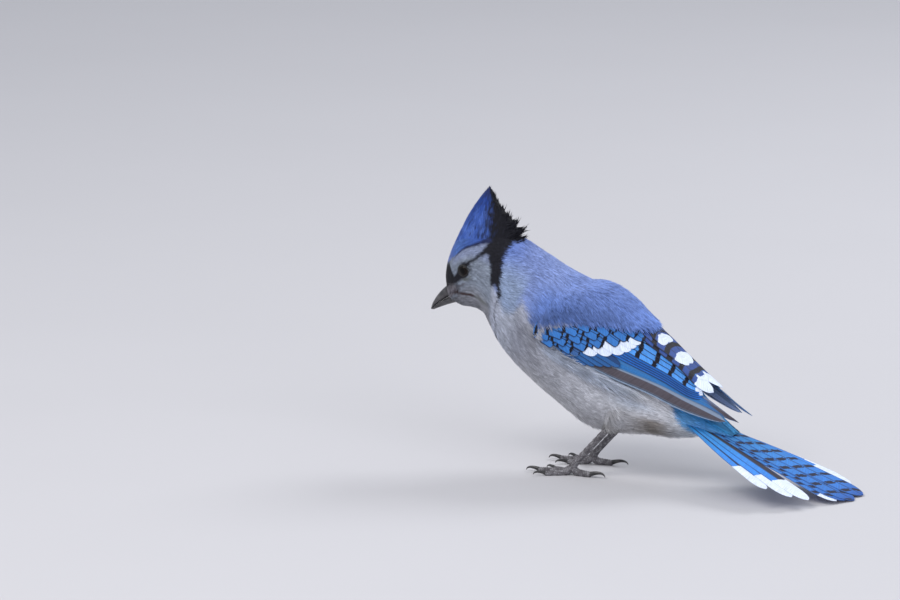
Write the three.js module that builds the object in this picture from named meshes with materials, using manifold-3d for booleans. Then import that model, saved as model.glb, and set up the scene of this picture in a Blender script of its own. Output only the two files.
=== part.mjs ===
// A blue jay at life size, standing with its head bowed, its wings folded and its tail low behind it.
// Millimetres, +Z up. The bird faces -X and its left side is -Y, with y = 0 in its middle plane.
import * as THREE from "three";
import { mergeVertices } from "three/addons/utils/BufferGeometryUtils.js";
import Module from "manifold-3d";

const wasm = await Module();
wasm.setup();

// Driving dimensions

// Clearance between pieces that meet.
const GAP = 0.3;
// The middle of the whole bird's box, which is put over the origin.
const BOX_MIDDLE = { x: 4.2, y: -8.68 };

// The body as ribs from the face to the root of the tail. Each rib is a section through the body:
// its top and bottom points in the middle plane, its half width, and how high up it is widest.
const BODY_RIBS = [
  { at: "face", top: [-115.0, 98.5], bottom: [-110.8, 90.0], half: 4.6, widest: 0.5 },
  { at: "forehead", top: [-115.8, 107.0], bottom: [-105.5, 88.0], half: 8.8, widest: 0.52 },
  { at: "brow", top: [-113.8, 117.0], bottom: [-100.0, 87.5], half: 11.6, widest: 0.55 },
  { at: "crown", top: [-108.8, 127.0], bottom: [-95.5, 86.5], half: 13.4, widest: 0.55 },
  { at: "hind crown", top: [-99.0, 133.5], bottom: [-90.5, 83.5], half: 15.0, widest: 0.55 },
  { at: "nape", top: [-85.0, 134.5], bottom: [-87.0, 77.5], half: 16.8, widest: 0.52 },
  { at: "hind neck", top: [-71.5, 130.0], bottom: [-83.0, 70.5], half: 19.3, widest: 0.5 },
  { at: "neck base", top: [-58.7, 123.3], bottom: [-77.2, 63.5], half: 22.6, widest: 0.5 },
  { at: "shoulder", top: [-44.3, 115.4], bottom: [-68.7, 55.5], half: 25.6, widest: 0.5 },
  { at: "back", top: [-29.0, 108.6], bottom: [-56.8, 46.6], half: 28.0, widest: 0.5 },
  { at: "breast", top: [-12.2, 100.2], bottom: [-42.1, 37.4], half: 28.8, widest: 0.5 },
  { at: "flank", top: [2.2, 87.4], bottom: [-27.4, 29.3], half: 27.6, widest: 0.5 },
  { at: "belly", top: [14.0, 75.6], bottom: [-10.5, 26.5], half: 25.0, widest: 0.5 },
  { at: "rump", top: [24.4, 64.6], bottom: [6.5, 26.4], half: 20.8, widest: 0.5 },
  { at: "vent", top: [34.4, 55.0], bottom: [20.5, 25.6], half: 16.4, widest: 0.5 },
  { at: "tail coverts", top: [44.4, 46.2], bottom: [33.0, 25.0], half: 13.2, widest: 0.5 },
  { at: "tail root", top: [54.0, 38.2], bottom: [44.4, 25.4], half: 11.6, widest: 0.5 },
  { at: "ends of the coverts", top: [63.5, 31.4], bottom: [55.0, 26.6], half: 9.6, widest: 0.5 },
];
const LAST_RIB = BODY_RIBS.length - 1;
// Where the body is parted, counted in ribs.
const HEAD_END = 5.45;
const NECK_END = 8.3;
const TORSO_END = 13.7;

// The surface that the folded wings lie on, as ribs of the same kind.
const WING_RIBS = [
  { at: "neck base", top: [-59.5, 125.5], bottom: [-78.0, 62.5], half: 23.4, widest: 0.5 },
  { at: "shoulder", top: [-45.0, 118.2], bottom: [-69.5, 54.5], half: 27.0, widest: 0.5 },
  { at: "back", top: [-29.5, 111.2], bottom: [-57.5, 45.5], half: 29.8, widest: 0.5 },
  { at: "breast", top: [-12.5, 102.5], bottom: [-42.5, 36.5], half: 30.8, widest: 0.5 },
  { at: "flank", top: [2.2, 90.2], bottom: [-27.5, 29.0], half: 30.0, widest: 0.5 },
  { at: "belly", top: [15.7, 79.0], bottom: [-10.5, 26.5], half: 28.0, widest: 0.5 },
  { at: "rump", top: [28.2, 68.7], bottom: [6.5, 24.5], half: 24.6, widest: 0.5 },
  { at: "vent", top: [39.8, 59.8], bottom: [22.0, 19.5], half: 20.8, widest: 0.5 },
  { at: "tail coverts", top: [51.8, 51.8], bottom: [37.0, 14.5], half: 17.2, widest: 0.5 },
  { at: "wing tip", top: [64.2, 44.6], bottom: [51.5, 9.5], half: 13.8, widest: 0.5 },
  { at: "past the tip", top: [77.0, 38.0], bottom: [66.0, 4.5], half: 10.5, widest: 0.5 },
];
// The wing's lower and upper edge on that surface, each point as its place along the surface in ribs
// and its angle from the back in degrees.
const WING_LOWER = [[1.4, 90], [3, 87], [4, 80], [5.4, 74], [7, 69], [8.7, 61], [9.4, 52]];
const WING_UPPER = [[1.4, 74], [2.5, 46], [3.4, 30], [4.3, 20], [6.05, 7], [7.8, 4], [9.4, 12]];

const EYE = { x: -101, z: 110, radius: 4.6, bulge: 1.0 };
const LID = { radius: 3.15, thick: 0.65 };

const BILL = {
  culmen: [[-109.5, 103.4], [-116.0, 98.9], [-120.9, 94.2], [-124.6, 88.9], [-126.3, 84.7]],
  mouth: [[-107.0, 95.6], [-113.0, 93.3], [-118.4, 90.3], [-122.9, 87.0], [-125.9, 84.2]],
  chin: [[-105.0, 90.8], [-110.8, 89.4], [-116.2, 87.6], [-120.9, 85.7], [-124.3, 84.2]],
  half: [4.9, 4.3, 3.3, 1.9, 0.5],
};

const MOUTH_LINE = {
  path: [[-112.2, 93.6], [-108.6, 95.2], [-104.2, 96.0], [-99.8, 96.0]],
  depth: 0.9,
  width: 0.5,
};
// Small stiff feathers over the nostrils: where they start and how they are turned round the bill.
const BRISTLES = { root: 0.35, turns: [12, 34, 58], length: 9, width: 2.2, spread: 4.6 };
const NOSTRIL = { x: -115.0, z: 95.6, y: 3.6, radius: 0.75, long: 1.8 };

// The crest: its core as an outline before and behind in the middle plane with the half width on the
// way up, and its feathers, with their roots along the crown in ribs and their tips along the outline.
const CREST = {
  front: [[-113.0, 117], [-107.6, 128.5], [-101.4, 139.5], [-91.6, 155]],
  rear: [[-71, 124], [-77.5, 139], [-84.6, 146.5], [-90.4, 155]],
  half: [9, 6.4, 3.4, 0.6],
  coreTop: 1.85,
  coreInset: [0.2, 1.6],
  rows: 8,
  rowAngle: 24,
  rowLean: 1.15,
  rowSpread: 2.2,
  sideShorter: 0.12,
  tips: [
    [-107, 129.6], [-102.2, 137.6], [-96.8, 146.2], [-91.2, 155.4],
    [-86.4, 150.4], [-80, 144], [-74.4, 138.6], [-69.2, 130.8],
  ],
  width: 6.2,
  bow: 0.5,
  middle: { roots: [2.45, 5.25], raised: 0.15 },
  sides: { roots: [3.15, 5.2], raised: 0.2 },
};

// Vanes: their thickness, the step from one to the next that lies over it,
// and their outlines as [part of the length, part of the width].
const VANE = {
  thick: 0.5,
  step: 0.82,
  long: [[0, 0.6], [0.3, 0.92], [0.56, 1], [0.8, 0.94], [0.94, 0.66], [1, 0.2]],
  short: [[0, 0.6], [0.5, 1], [0.86, 0.9], [1, 0.45]],
  tail: [[0, 0.36], [0.3, 0.55], [0.6, 0.86], [0.84, 1], [0.95, 0.8], [1, 0.3]],
  crest: [[0, 0.7], [0.42, 1], [0.78, 0.62], [1, 0.12]],
};

// The wing's feathers. flight runs from its lower edge to its upper edge as primaries, secondaries
// and tertials: where each tip ends in ribs,
// the width in millimetres, and the spacing beside the others. coverts are the short layers over it:
// those of the primaries, the greater and median rows, and the alula.
const WING = {
  apart: 0.8,
  armEnd: [2.9, 4.5],
  armHeight: 1.5,
  flight: [
    { tips: [8.35, 8.85, 9.15, 9.2, 8.95, 8.6], width: 5.6, spacing: 0.9, strips: 1 },
    { tips: [8.1, 7.9, 7.75, 7.65, 7.55], width: 7, spacing: 1.35, strips: 1 },
    { tips: [7.85, 6.4, 5.2], width: 12.5, spacing: 2.9, strips: 2 },
  ],
  coverts: [
    { count: 3, shares: [0.04, 0.15], ends: [3.95, 4.1], length: 1.25, width: 4.6, tier: 1.1 },
    { count: 7, shares: [0.15, 0.7], ends: [3.45, 4.75], length: 1.1, width: 4.8, tier: 1.5 },
    { count: 6, shares: [0.16, 0.7], ends: [2.95, 4.15], length: 0.85, width: 5.4, tier: 2.5 },
    { count: 2, shares: [0.02, 0.09], ends: [3.35, 3.55], length: 0.9, width: 4.2, tier: 2.2 },
  ],
};

const TAIL = {
  pivot: [18, 0, 43.4],
  slope: 20.3,
  lengths: [124, 121, 119, 113, 108, 98],
  spreadLeft: [3.4, 6.4, 9.6, 19.4, 24, 30],
  spreadRight: [-0.8, -2.6, -4.2, -5.6, -7, -8.4],
  start: 14,
  width: 12.6,
  droop: 0.4,
};

const LEG = {
  ankle: [-10.5, 14, 30],
  foot: [-33, 14.6, 5.2],
  radius: 2.0,
  scutes: 8,
  knob: 2.7,
  thighTop: [-2, 15, 47],
  thighRadii: [11, 8.5, 5.2, 3.0],
};
// Each toe: direction in degrees from straight ahead, outwards positive, length, radius and claw length.
const TOES = [
  { name: "inner", turn: -24, length: 14.5, radius: 1.7, claw: 7 },
  { name: "middle", turn: 3, length: 20, radius: 1.85, claw: 8 },
  { name: "outer", turn: 29, length: 15.5, radius: 1.7, claw: 7 },
  { name: "hind", turn: 174, length: 11.5, radius: 2.0, claw: 10 },
];

// Small helpers

const radians = THREE.MathUtils.degToRad;
const { lerp, clamp } = THREE.MathUtils;
const at = (x, y, z) => new THREE.Vector3(x, y, z);

// The value at u of a smooth curve through equally spaced values.
function smooth(values, u) {
  const last = values.length - 1;
  const i = Math.min(Math.floor(clamp(u, 0, last)), last - 1);
  const t = clamp(u, 0, last) - i;
  const a = values[Math.max(i - 1, 0)];
  const b = values[i];
  const c = values[i + 1];
  const d = values[Math.min(i + 2, last)];
  const square = (2 * a - 5 * b + 4 * c - d) * t * t;
  return 0.5 * (2 * b + (c - a) * t + square + (3 * b - a - 3 * c + d) * t * t * t);
}

// The value at u of straight lines through [u, value] pairs.
function along(pairs, u) {
  const k = pairs.findIndex((pair) => pair[0] > u);
  if (k === 0) return pairs[0][1];
  if (k < 0) return pairs[pairs.length - 1][1];
  const [[u0, v0], [u1, v1]] = [pairs[k - 1], pairs[k]];
  return lerp(v0, v1, (u - u0) / (u1 - u0));
}

// A closed three.js geometry as a solid.
function solid(geometry) {
  const bare = geometry.index ? geometry.toNonIndexed() : geometry.clone();
  bare.deleteAttribute("normal");
  bare.deleteAttribute("uv");
  const merged = mergeVertices(bare, 1e-4);
  const made = new wasm.Manifold(
    new wasm.Mesh({
      numProp: 3,
      vertProperties: new Float32Array(merged.attributes.position.array),
      triVerts: new Uint32Array(merged.index.array),
    }),
  );
  return made;
}

// A solid's largest closed surface, as a geometry.
function geometryOf(shape) {
  const largest = shape.decompose().sort((p, q) => q.volume() - p.volume())[0];
  const mesh = largest.getMesh();
  const points = new Float32Array(mesh.numVert * 3);
  for (let i = 0; i < mesh.numVert; i++) {
    for (let k = 0; k < 3; k++) points[3 * i + k] = mesh.vertProperties[mesh.numProp * i + k];
  }
  const geometry = new THREE.BufferGeometry();
  geometry.setAttribute("position", new THREE.BufferAttribute(points, 3));
  geometry.setIndex(new THREE.BufferAttribute(new Uint32Array(mesh.triVerts), 1));
  geometry.computeVertexNormals();
  return geometry;
}

const join = (shapes) => shapes.reduce((whole, shape) => whole.add(shape));

// A geometry from points and triangles, turned so that its faces point outwards.
function surface(points, triangles) {
  let volume = 0;
  for (const [a, b, c] of triangles) volume += points[a].dot(points[b].clone().cross(points[c]));
  const geometry = new THREE.BufferGeometry().setFromPoints(points);
  geometry.setIndex(triangles.flatMap(([a, b, c]) => (volume > 0 ? [a, b, c] : [a, c, b])));
  return geometry;
}

// A closed skin through rings of points, each end closed by a fan round its middle.
function loft(rings) {
  const count = rings[0].length;
  const points = rings.flat();
  const triangles = [];
  for (let r = 0; r + 1 < rings.length; r++) {
    for (let i = 0; i < count; i++) {
      const a = r * count + i;
      const b = r * count + ((i + 1) % count);
      triangles.push([a, b, b + count], [a, b + count, a + count]);
    }
  }
  const ends = [
    { ring: rings[0], start: 0, turned: true },
    { ring: rings[rings.length - 1], start: (rings.length - 1) * count, turned: false },
  ];
  for (const { ring, start, turned } of ends) {
    const middle = points.length;
    points.push(ring.reduce((sum, p) => sum.add(p), at(0, 0, 0)).divideScalar(count));
    for (let i = 0; i < count; i++) {
      const [a, b] = [start + i, start + ((i + 1) % count)];
      triangles.push(turned ? [b, a, middle] : [a, b, middle]);
    }
  }
  return surface(points, triangles);
}

// A thin plate. place(s, q, side) gives the point at s (0 to 1) along it, q (-1 to 1) across it,
// on its upper (side 1) or lower (side -1) face. Both faces are split into triangles alike.
function plate(place, lengths, widths) {
  const points = [];
  const triangles = [];
  const stride = widths + 1;
  const half = (lengths + 1) * stride;
  for (const side of [1, -1]) {
    for (let i = 0; i <= lengths; i++) {
      for (let j = 0; j <= widths; j++) points.push(place(i / lengths, (2 * j) / widths - 1, side));
    }
  }
  const quad = (a, b, c, d) => triangles.push([a, b, c], [a, c, d]);
  for (let i = 0; i < lengths; i++) {
    for (let j = 0; j < widths; j++) {
      const a = i * stride + j;
      const [b, c, d] = [a + 1, a + stride + 1, a + stride];
      quad(a, b, c, d);
      triangles.push([a + half, c + half, b + half], [a + half, d + half, c + half]);
    }
  }
  for (let i = 0; i < lengths; i++) {
    const a = i * stride;
    quad(a, a + stride, a + stride + half, a + half);
    quad(a + widths + stride, a + widths, a + widths + half, a + widths + stride + half);
  }
  for (let j = 0; j < widths; j++) {
    const far = lengths * stride + j;
    quad(j + 1, j, j + half, j + 1 + half);
    quad(far, far + 1, far + 1 + half, far + half);
  }
  return surface(points, triangles);
}

// The body

// The point of a ribbed surface at u ribs along it, at an angle from its top, grown outwards.
function onRibs(ribs, u, angle, grow = 0) {
  const value = (pick) => smooth(ribs.map(pick), u);
  const top = at(value((r) => r.top[0]), 0, value((r) => r.top[1]));
  const bottom = at(value((r) => r.bottom[0]), 0, value((r) => r.bottom[1]));
  const up = top.clone().sub(bottom).normalize();
  top.addScaledVector(up, grow);
  bottom.addScaledVector(up, -grow);
  const widest = value((r) => r.widest);
  const half = value((r) => r.half) + grow;
  const c = Math.cos(angle);
  const s = Math.sin(angle);
  const height = widest + (c > 0 ? 1 - widest : widest) * c;
  const point = bottom.lerp(top, height);
  point.y = -half * Math.sign(s) * Math.abs(s) ** 0.92;
  return point;
}

// The outward direction of a ribbed surface at a place on it.
function outwards(ribs, u, angle) {
  const step = 0.02;
  const last = ribs.length - 1;
  const du = onRibs(ribs, Math.min(u + step, last), angle).sub(onRibs(ribs, Math.max(u - step, 0), angle));
  const da = onRibs(ribs, u, angle + step).sub(onRibs(ribs, u, angle - step));
  const normal = du.cross(da).normalize();
  const middle = onRibs(ribs, u, 0).lerp(onRibs(ribs, u, Math.PI), 0.5);
  const out = onRibs(ribs, u, angle).sub(middle);
  return normal.dot(out) < 0 ? normal.negate() : normal;
}

function ribLoft(ribs, from, to, rings, around, grow = 0) {
  const list = [];
  for (let i = 0; i <= rings; i++) {
    const ring = [];
    for (let j = 0; j < around; j++) {
      ring.push(onRibs(ribs, lerp(from, to, i / rings), (2 * Math.PI * j) / around, grow));
    }
    list.push(ring);
  }
  return loft(list);
}

// The place on the body's left side that lies at x and z.
function placeOnBody(x, z) {
  let [u, angle, du, da] = [8, Math.PI / 2, 8, Math.PI / 2];
  for (let round = 0; round < 24; round++) {
    let best = null;
    for (let i = -3; i <= 3; i++) {
      for (let j = -3; j <= 3; j++) {
        const p = clamp(u + (du * i) / 3, 0, LAST_RIB);
        const q = clamp(angle + (da * j) / 3, 0, Math.PI);
        const point = onRibs(BODY_RIBS, p, q);
        const off = Math.hypot(point.x - x, point.z - z);
        if (!best || off < best.off) best = { off, p, q };
      }
    }
    [u, angle, du, da] = [best.p, best.q, du * 0.6, da * 0.6];
  }
  return { u, angle, point: onRibs(BODY_RIBS, u, angle), out: outwards(BODY_RIBS, u, angle) };
}

// A thin cut through the body along one rib.
function ribCut(u) {
  const top = onRibs(BODY_RIBS, u, 0);
  const bottom = onRibs(BODY_RIBS, u, Math.PI);
  const slab = new THREE.BoxGeometry(GAP, 200, 300);
  slab.rotateY(Math.atan2(top.x - bottom.x, top.z - bottom.z));
  const middle = top.lerp(bottom, 0.5);
  slab.translate(middle.x, 0, middle.z);
  return solid(slab);
}

const BODY_RINGS = 34;
const BODY_SIDES = 24;
const bodyWhole = solid(ribLoft(BODY_RIBS, 0, LAST_RIB, BODY_RINGS, BODY_SIDES));
const bodyGrown = solid(ribLoft(BODY_RIBS, 0, LAST_RIB, BODY_RINGS, BODY_SIDES, GAP));

// The head, neck, torso and tail base, from front to back.
function bodyPieces() {
  const parted = [HEAD_END, NECK_END, TORSO_END].reduce((s, u) => s.subtract(ribCut(u)), bodyWhole);
  const middleX = (s) => {
    const box = s.boundingBox();
    return box.min[0] + box.max[0];
  };
  return parted.decompose().sort((p, q) => middleX(p) - middleX(q));
}

// The head

function ball(centre, radius, across, down) {
  const sphere = new THREE.SphereGeometry(radius, across, down);
  sphere.translate(centre.x, centre.y, centre.z);
  return sphere;
}

const eyeSeat = placeOnBody(EYE.x, EYE.z);
const eyeMiddle = eyeSeat.point.clone().addScaledVector(eyeSeat.out, EYE.bulge - EYE.radius);
const mirrored = (p) => at(p.x, -p.y, p.z);

// A ring of lid round the eye on one side.
function lidRing(middle, out) {
  const ring = new THREE.TorusGeometry(LID.radius, LID.thick, 5, 14);
  ring.applyQuaternion(new THREE.Quaternion().setFromUnitVectors(at(0, 0, 1), out));
  const centre = middle.clone().addScaledVector(out, Math.sqrt(EYE.radius ** 2 - LID.radius ** 2));
  ring.translate(centre.x, centre.y, centre.z);
  return ring;
}

function makeHead(blank) {
  let head = blank;
  for (const side of [1, -1]) {
    const middle = side > 0 ? eyeMiddle : mirrored(eyeMiddle);
    const out = side > 0 ? eyeSeat.out : mirrored(eyeSeat.out);
    head = head.add(solid(lidRing(middle, out)));
    head = head.subtract(solid(ball(middle, EYE.radius + GAP, 12, 8)));
    for (const turn of BRISTLES.turns) head = head.add(solid(bristle(side, radians(turn))));
    head = head.subtract(solid(mouthLine(side)));
  }
  return head.subtract(solid(billHalf(BILL.culmen, BILL.mouth, GAP)))
    .subtract(solid(billHalf(BILL.mouth, BILL.chin, GAP)));
}

// The line of the mouth on one side, a narrow groove that runs back from the bill below the eye.
function mouthLine(side) {
  const seats = MOUTH_LINE.path.map(([x, z]) => placeOnBody(x, z));
  return plate(
    (s, q, face) => {
      const { point, out } = seats[Math.round(s * (seats.length - 1))];
      const p = point.clone().addScaledVector(out, q * MOUTH_LINE.depth);
      p.z += (face * MOUTH_LINE.width) / 2;
      return side > 0 ? p : mirrored(p);
    },
    seats.length - 1,
    1,
  );
}

// One of the stiff small feathers that lie forwards over the nostrils.
function bristle(side, turn) {
  const root = onRibs(BODY_RIBS, BRISTLES.root, turn);
  root.addScaledVector(outwards(BODY_RIBS, BRISTLES.root, turn), -0.4);
  const [tipX, tipZ] = BILL.culmen[2];
  const tip = at(tipX, -BRISTLES.spread * Math.sin(turn), tipZ + 1.4 - 3.2 * Math.sin(turn) ** 2);
  const axis = tip.clone().sub(root).setLength(BRISTLES.length);
  const face = at(-0.6, -1.2 * Math.sin(turn), 0.8).normalize();
  const across = face.clone().cross(axis).normalize();
  return plate(
    (s, q, up) => {
      const p = root.clone().addScaledVector(axis, s);
      p.addScaledVector(across, (q * BRISTLES.width * (1 - 0.75 * s)) / 2).addScaledVector(face, up * 0.27);
      return side > 0 ? p : mirrored(p);
    },
    2,
    1,
  );
}

// One half of the bill between two lines of the middle plane, ridged above and rounded below.
function billHalf(above, below, grow = 0) {
  const rings = [];
  const steps = 6;
  for (let i = 0; i <= steps; i++) {
    const u = (i / steps) * (above.length - 1);
    const top = at(smooth(above.map((p) => p[0]), u), 0, smooth(above.map((p) => p[1]), u));
    const low = at(smooth(below.map((p) => p[0]), u), 0, smooth(below.map((p) => p[1]), u));
    const up = top.clone().sub(low).normalize();
    top.addScaledVector(up, grow);
    low.addScaledVector(up, -grow + GAP / 2);
    const half = smooth(BILL.half, u) + grow;
    const ring = [];
    for (let j = 0; j < 10; j++) {
      const a = (2 * Math.PI * j) / 10;
      const p = low.clone().lerp(top, 0.5 + 0.5 * Math.cos(a));
      const ridge = above === BILL.culmen ? -0.25 : 0.2;
      p.y = -half * Math.sin(a) * (1 + ridge * Math.cos(a));
      ring.push(p);
    }
    rings.push(ring);
  }
  return loft(rings);
}

// The upper half of the bill with its two nostrils.
function makeUpperBill() {
  const nostril = new THREE.SphereGeometry(NOSTRIL.radius, 8, 6);
  nostril.scale(NOSTRIL.long, 1, 1);
  nostril.rotateY(radians(-42));
  return [1, -1].reduce((bill, side) => {
    const dent = nostril.clone().translate(NOSTRIL.x, side * NOSTRIL.y, NOSTRIL.z);
    return bill.subtract(solid(dent));
  }, solid(billHalf(BILL.culmen, BILL.mouth)));
}

// The crest's core, a wedge on the crown that reaches part of the way up.
function crestCore() {
  const rings = [];
  for (let i = 0; i <= 4; i++) {
    const u = (i / 4) * CREST.coreTop;
    const inset = lerp(...CREST.coreInset, i / 4);
    const front = smooth(CREST.front.map((p) => p[0]), u) + inset;
    const rear = smooth(CREST.rear.map((p) => p[0]), u) - inset;
    const frontZ = smooth(CREST.front.map((p) => p[1]), u);
    const rearZ = smooth(CREST.rear.map((p) => p[1]), u);
    const ring = [];
    for (let j = 0; j < 12; j++) {
      const a = (2 * Math.PI * j) / 12;
      const k = 0.5 - 0.5 * Math.cos(a);
      ring.push(at(lerp(front, rear, k), -smooth(CREST.half, u) * Math.sin(a), lerp(frontZ, rearZ, k)));
    }
    rings.push(ring);
  }
  return loft(rings);
}

// One crest feather, rooted at a place along the crown and pointing at the crest's outline.
// side is -1, 0 or 1 for the left, middle and right row.
function crestVane(t, side) {
  const row = side ? CREST.sides : CREST.middle;
  const u = lerp(...row.roots, t);
  const root = onRibs(BODY_RIBS, u, -side * radians(CREST.rowAngle));
  root.addScaledVector(outwards(BODY_RIBS, u, -side * radians(CREST.rowAngle)), row.raised);
  const tips = CREST.tips;
  const place = t * (tips.length - 1);
  const [tipX, tipZ] = [0, 1].map((k) => smooth(tips.map((p) => p[k]), place));
  const tip = at(tipX, side * CREST.rowSpread, tipZ);
  if (side) tip.lerp(root, CREST.sideShorter);
  const axis = tip.clone().sub(root);
  const length = axis.length();
  axis.normalize();
  const face = at(-axis.z, 0, axis.x).multiplyScalar(Math.cos(side * CREST.rowLean));
  face.addScaledVector(at(0, 1, 0), Math.sin(side * CREST.rowLean));
  const across = face.clone().cross(axis).normalize();
  const out = axis.clone().cross(across).normalize();
  if (out.dot(face) < 0) out.negate();
  const count = VANE.crest.length - 1;
  return plate(
    (s, q, up) => {
      const [stop, wide] = VANE.crest[Math.round(s * count)];
      const point = root.clone().addScaledVector(axis, length * stop);
      point.addScaledVector(across, (q * CREST.width * wide) / 2);
      const bow = CREST.bow * Math.sin(Math.PI * stop);
      return point.addScaledVector(out, bow + (up * VANE.thick) / 2);
    },
    count,
    1,
  );
}

function makeCrest() {
  const vanes = [];
  for (let i = 0; i < CREST.rows; i++) {
    vanes.push(crestVane(i / (CREST.rows - 1), 0));
    for (const side of [-1, 1]) vanes.push(crestVane((i + 0.5) / (CREST.rows - 0.5), side));
  }
  return join([solid(crestCore()), ...vanes.map(solid)]).subtract(bodyGrown);
}

// The wing

// The place in ribs and angle that lies at a share of the way from the lower to the upper edge.
function wingAngle(u, share) {
  return radians(lerp(along(WING_LOWER, u), along(WING_UPPER, u), share));
}

function onWing(u, angle, height) {
  const point = onRibs(WING_RIBS, u, angle);
  return point.addScaledVector(outwards(WING_RIBS, u, angle), height);
}

// Feathers of one layer side by side on the wing. centres are their places between the wing's lower
// edge (0) and upper edge (1), tier is the layer's height, and each feather lies over the one below it.
function layer(centres, tier) {
  const last = centres.length - 1;
  const pairs = centres.map((share, index) => [share, index]);
  const index = (share) => clamp(along(pairs, share), -0.4, last + 0.4);
  return { centres, height: (own, share) => tier + VANE.step * (own - index(share)) };
}

// One feather of a layer: it starts and ends at places along the wing, and width is at its widest.
function wingVane(group, own, { from, to, width, strips, outline }) {
  const centre = group.centres[own];
  const count = outline.length - 1;
  return plate(
    (s, q, side) => {
      const [stop, wide] = outline[Math.round(s * count)];
      const u = lerp(from, to, stop);
      const step = 0.05;
      const angle = wingAngle(u, centre);
      const here = onRibs(WING_RIBS, u, angle);
      const ahead = onRibs(WING_RIBS, u + step, wingAngle(u + step, centre)).sub(here).normalize();
      const out = outwards(WING_RIBS, u, angle);
      const across = out.clone().cross(ahead).normalize();
      const alongRibs = onRibs(WING_RIBS, u + step, angle).sub(here).divideScalar(step);
      const round = onRibs(WING_RIBS, u, angle + step).sub(here).divideScalar(step);
      const shift = across.multiplyScalar((q * width * wide) / 2);
      const [uu, ua, aa] = [alongRibs.lengthSq(), alongRibs.dot(round), round.lengthSq()];
      const [su, sa] = [shift.dot(alongRibs), shift.dot(round)];
      const du = (su * aa - sa * ua) / (uu * aa - ua * ua);
      const da = (sa * uu - su * ua) / (uu * aa - ua * ua);
      const lower = radians(along(WING_LOWER, u + du));
      const upper = radians(along(WING_UPPER, u + du));
      const share = (lower - angle - da) / (lower - upper);
      return onWing(u + du, angle + da, group.height(own, share) + (side * VANE.thick) / 2);
    },
    count,
    strips,
  );
}

// The wing's arm under its small coverts and the shoulder feathers, low at its rim.
function wingArm() {
  return plate(
    (s, q, side) => {
      const share = lerp(-0.02, 1.04, (q + 1) / 2);
      const u = lerp(lerp(1.5, 2.3, share), armEnd(share), s);
      const rim = Math.min(1, 5 * s, 3 * (1 - s), 3.2 * (1 - Math.abs(q)));
      return onWing(u, wingAngle(u, share), side > 0 ? lerp(-1.2, WING.armHeight, smoothRise(rim)) : -4);
    },
    7,
    8,
  );
}

const smoothRise = (t) => t * t * (3 - 2 * t);
const armEnd = (share) => lerp(WING.armEnd[0], WING.armEnd[1], share);

// Places between two ends, one for each given spacing, in proportion to it.
function spaced(spacings, from, to) {
  const total = spacings.reduce((sum, v) => sum + v, 0);
  let run = 0;
  return [from, ...spacings.map((v) => lerp(from, to, (run += v) / total))];
}

const flightFeathers = WING.flight.flatMap((part) => part.tips.map((tip) => ({ ...part, tip })));

function makeWing() {
  const vanes = [];
  const spacings = flightFeathers.slice(1).map((part) => part.spacing);
  const flight = layer(spaced(spacings, 0.04, 0.98), 0);
  flightFeathers.forEach(({ tip, width, strips }, own) => {
    const from = armEnd(flight.centres[own]) - 0.45;
    vanes.push(wingVane(flight, own, { from, to: tip, width, strips, outline: VANE.long }));
  });
  for (const rank of WING.coverts) {
    const group = layer(spaced(Array(rank.count - 1).fill(1), ...rank.shares), rank.tier);
    group.centres.forEach((share, own) => {
      const to = lerp(...rank.ends, own / (rank.count - 1));
      const size = { from: to - rank.length, to, width: rank.width, outline: VANE.short, strips: 1 };
      vanes.push(wingVane(group, own, size));
    });
  }
  const arm = solid(wingArm());
  const whole = join([arm, ...vanes.map(solid)]);
  const rightHalf = solid(new THREE.BoxGeometry(400, 100, 400).translate(0, 50 - WING.apart / 2, 0));
  return whole.subtract(bodyGrown).subtract(rightHalf);
}

// The tail

const tailTurn = radians(TAIL.slope);
const tailAlong = at(Math.cos(tailTurn), 0, -Math.sin(tailTurn));
const tailUp = at(Math.sin(tailTurn), 0, Math.cos(tailTurn));
const tailPivot = at(...TAIL.pivot);

// A point of the tail's fan: distance from the pivot, spread to the left in degrees, height over the fan.
function onFan(distance, spread, height) {
  const turn = radians(spread);
  return tailPivot
    .clone()
    .addScaledVector(tailAlong, distance * Math.cos(turn))
    .addScaledVector(at(0, -1, 0), distance * Math.sin(turn))
    .addScaledVector(tailUp, height);
}

// One tail feather. rank 0 is the middle pair, and each further rank lies under the one before.
function tailVane(rank, spread, lift) {
  const count = VANE.tail.length - 1;
  const turn = radians(spread);
  const sideways = at(0, -1, 0).multiplyScalar(Math.cos(turn)).addScaledVector(tailAlong, -Math.sin(turn));
  return plate(
    (s, q, side) => {
      const [stop, wide] = VANE.tail[Math.round(s * count)];
      const distance = lerp(TAIL.start, TAIL.lengths[rank], stop);
      const droop = TAIL.droop * q * q * wide;
      const point = onFan(distance, spread, lift - VANE.step * rank - droop + (side * VANE.thick) / 2);
      return point.addScaledVector(sideways, (q * TAIL.width * wide) / 2);
    },
    count,
    2,
  );
}

function makeTail(base) {
  const vanes = [];
  TAIL.lengths.forEach((length, rank) => {
    vanes.push(tailVane(rank, TAIL.spreadLeft[rank], 0));
    vanes.push(tailVane(rank, TAIL.spreadRight[rank], rank === 0 ? VANE.step : 0));
  });
  return join([base, ...vanes.map(solid)]).subtract(underFloor);
}

// The legs and feet

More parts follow.
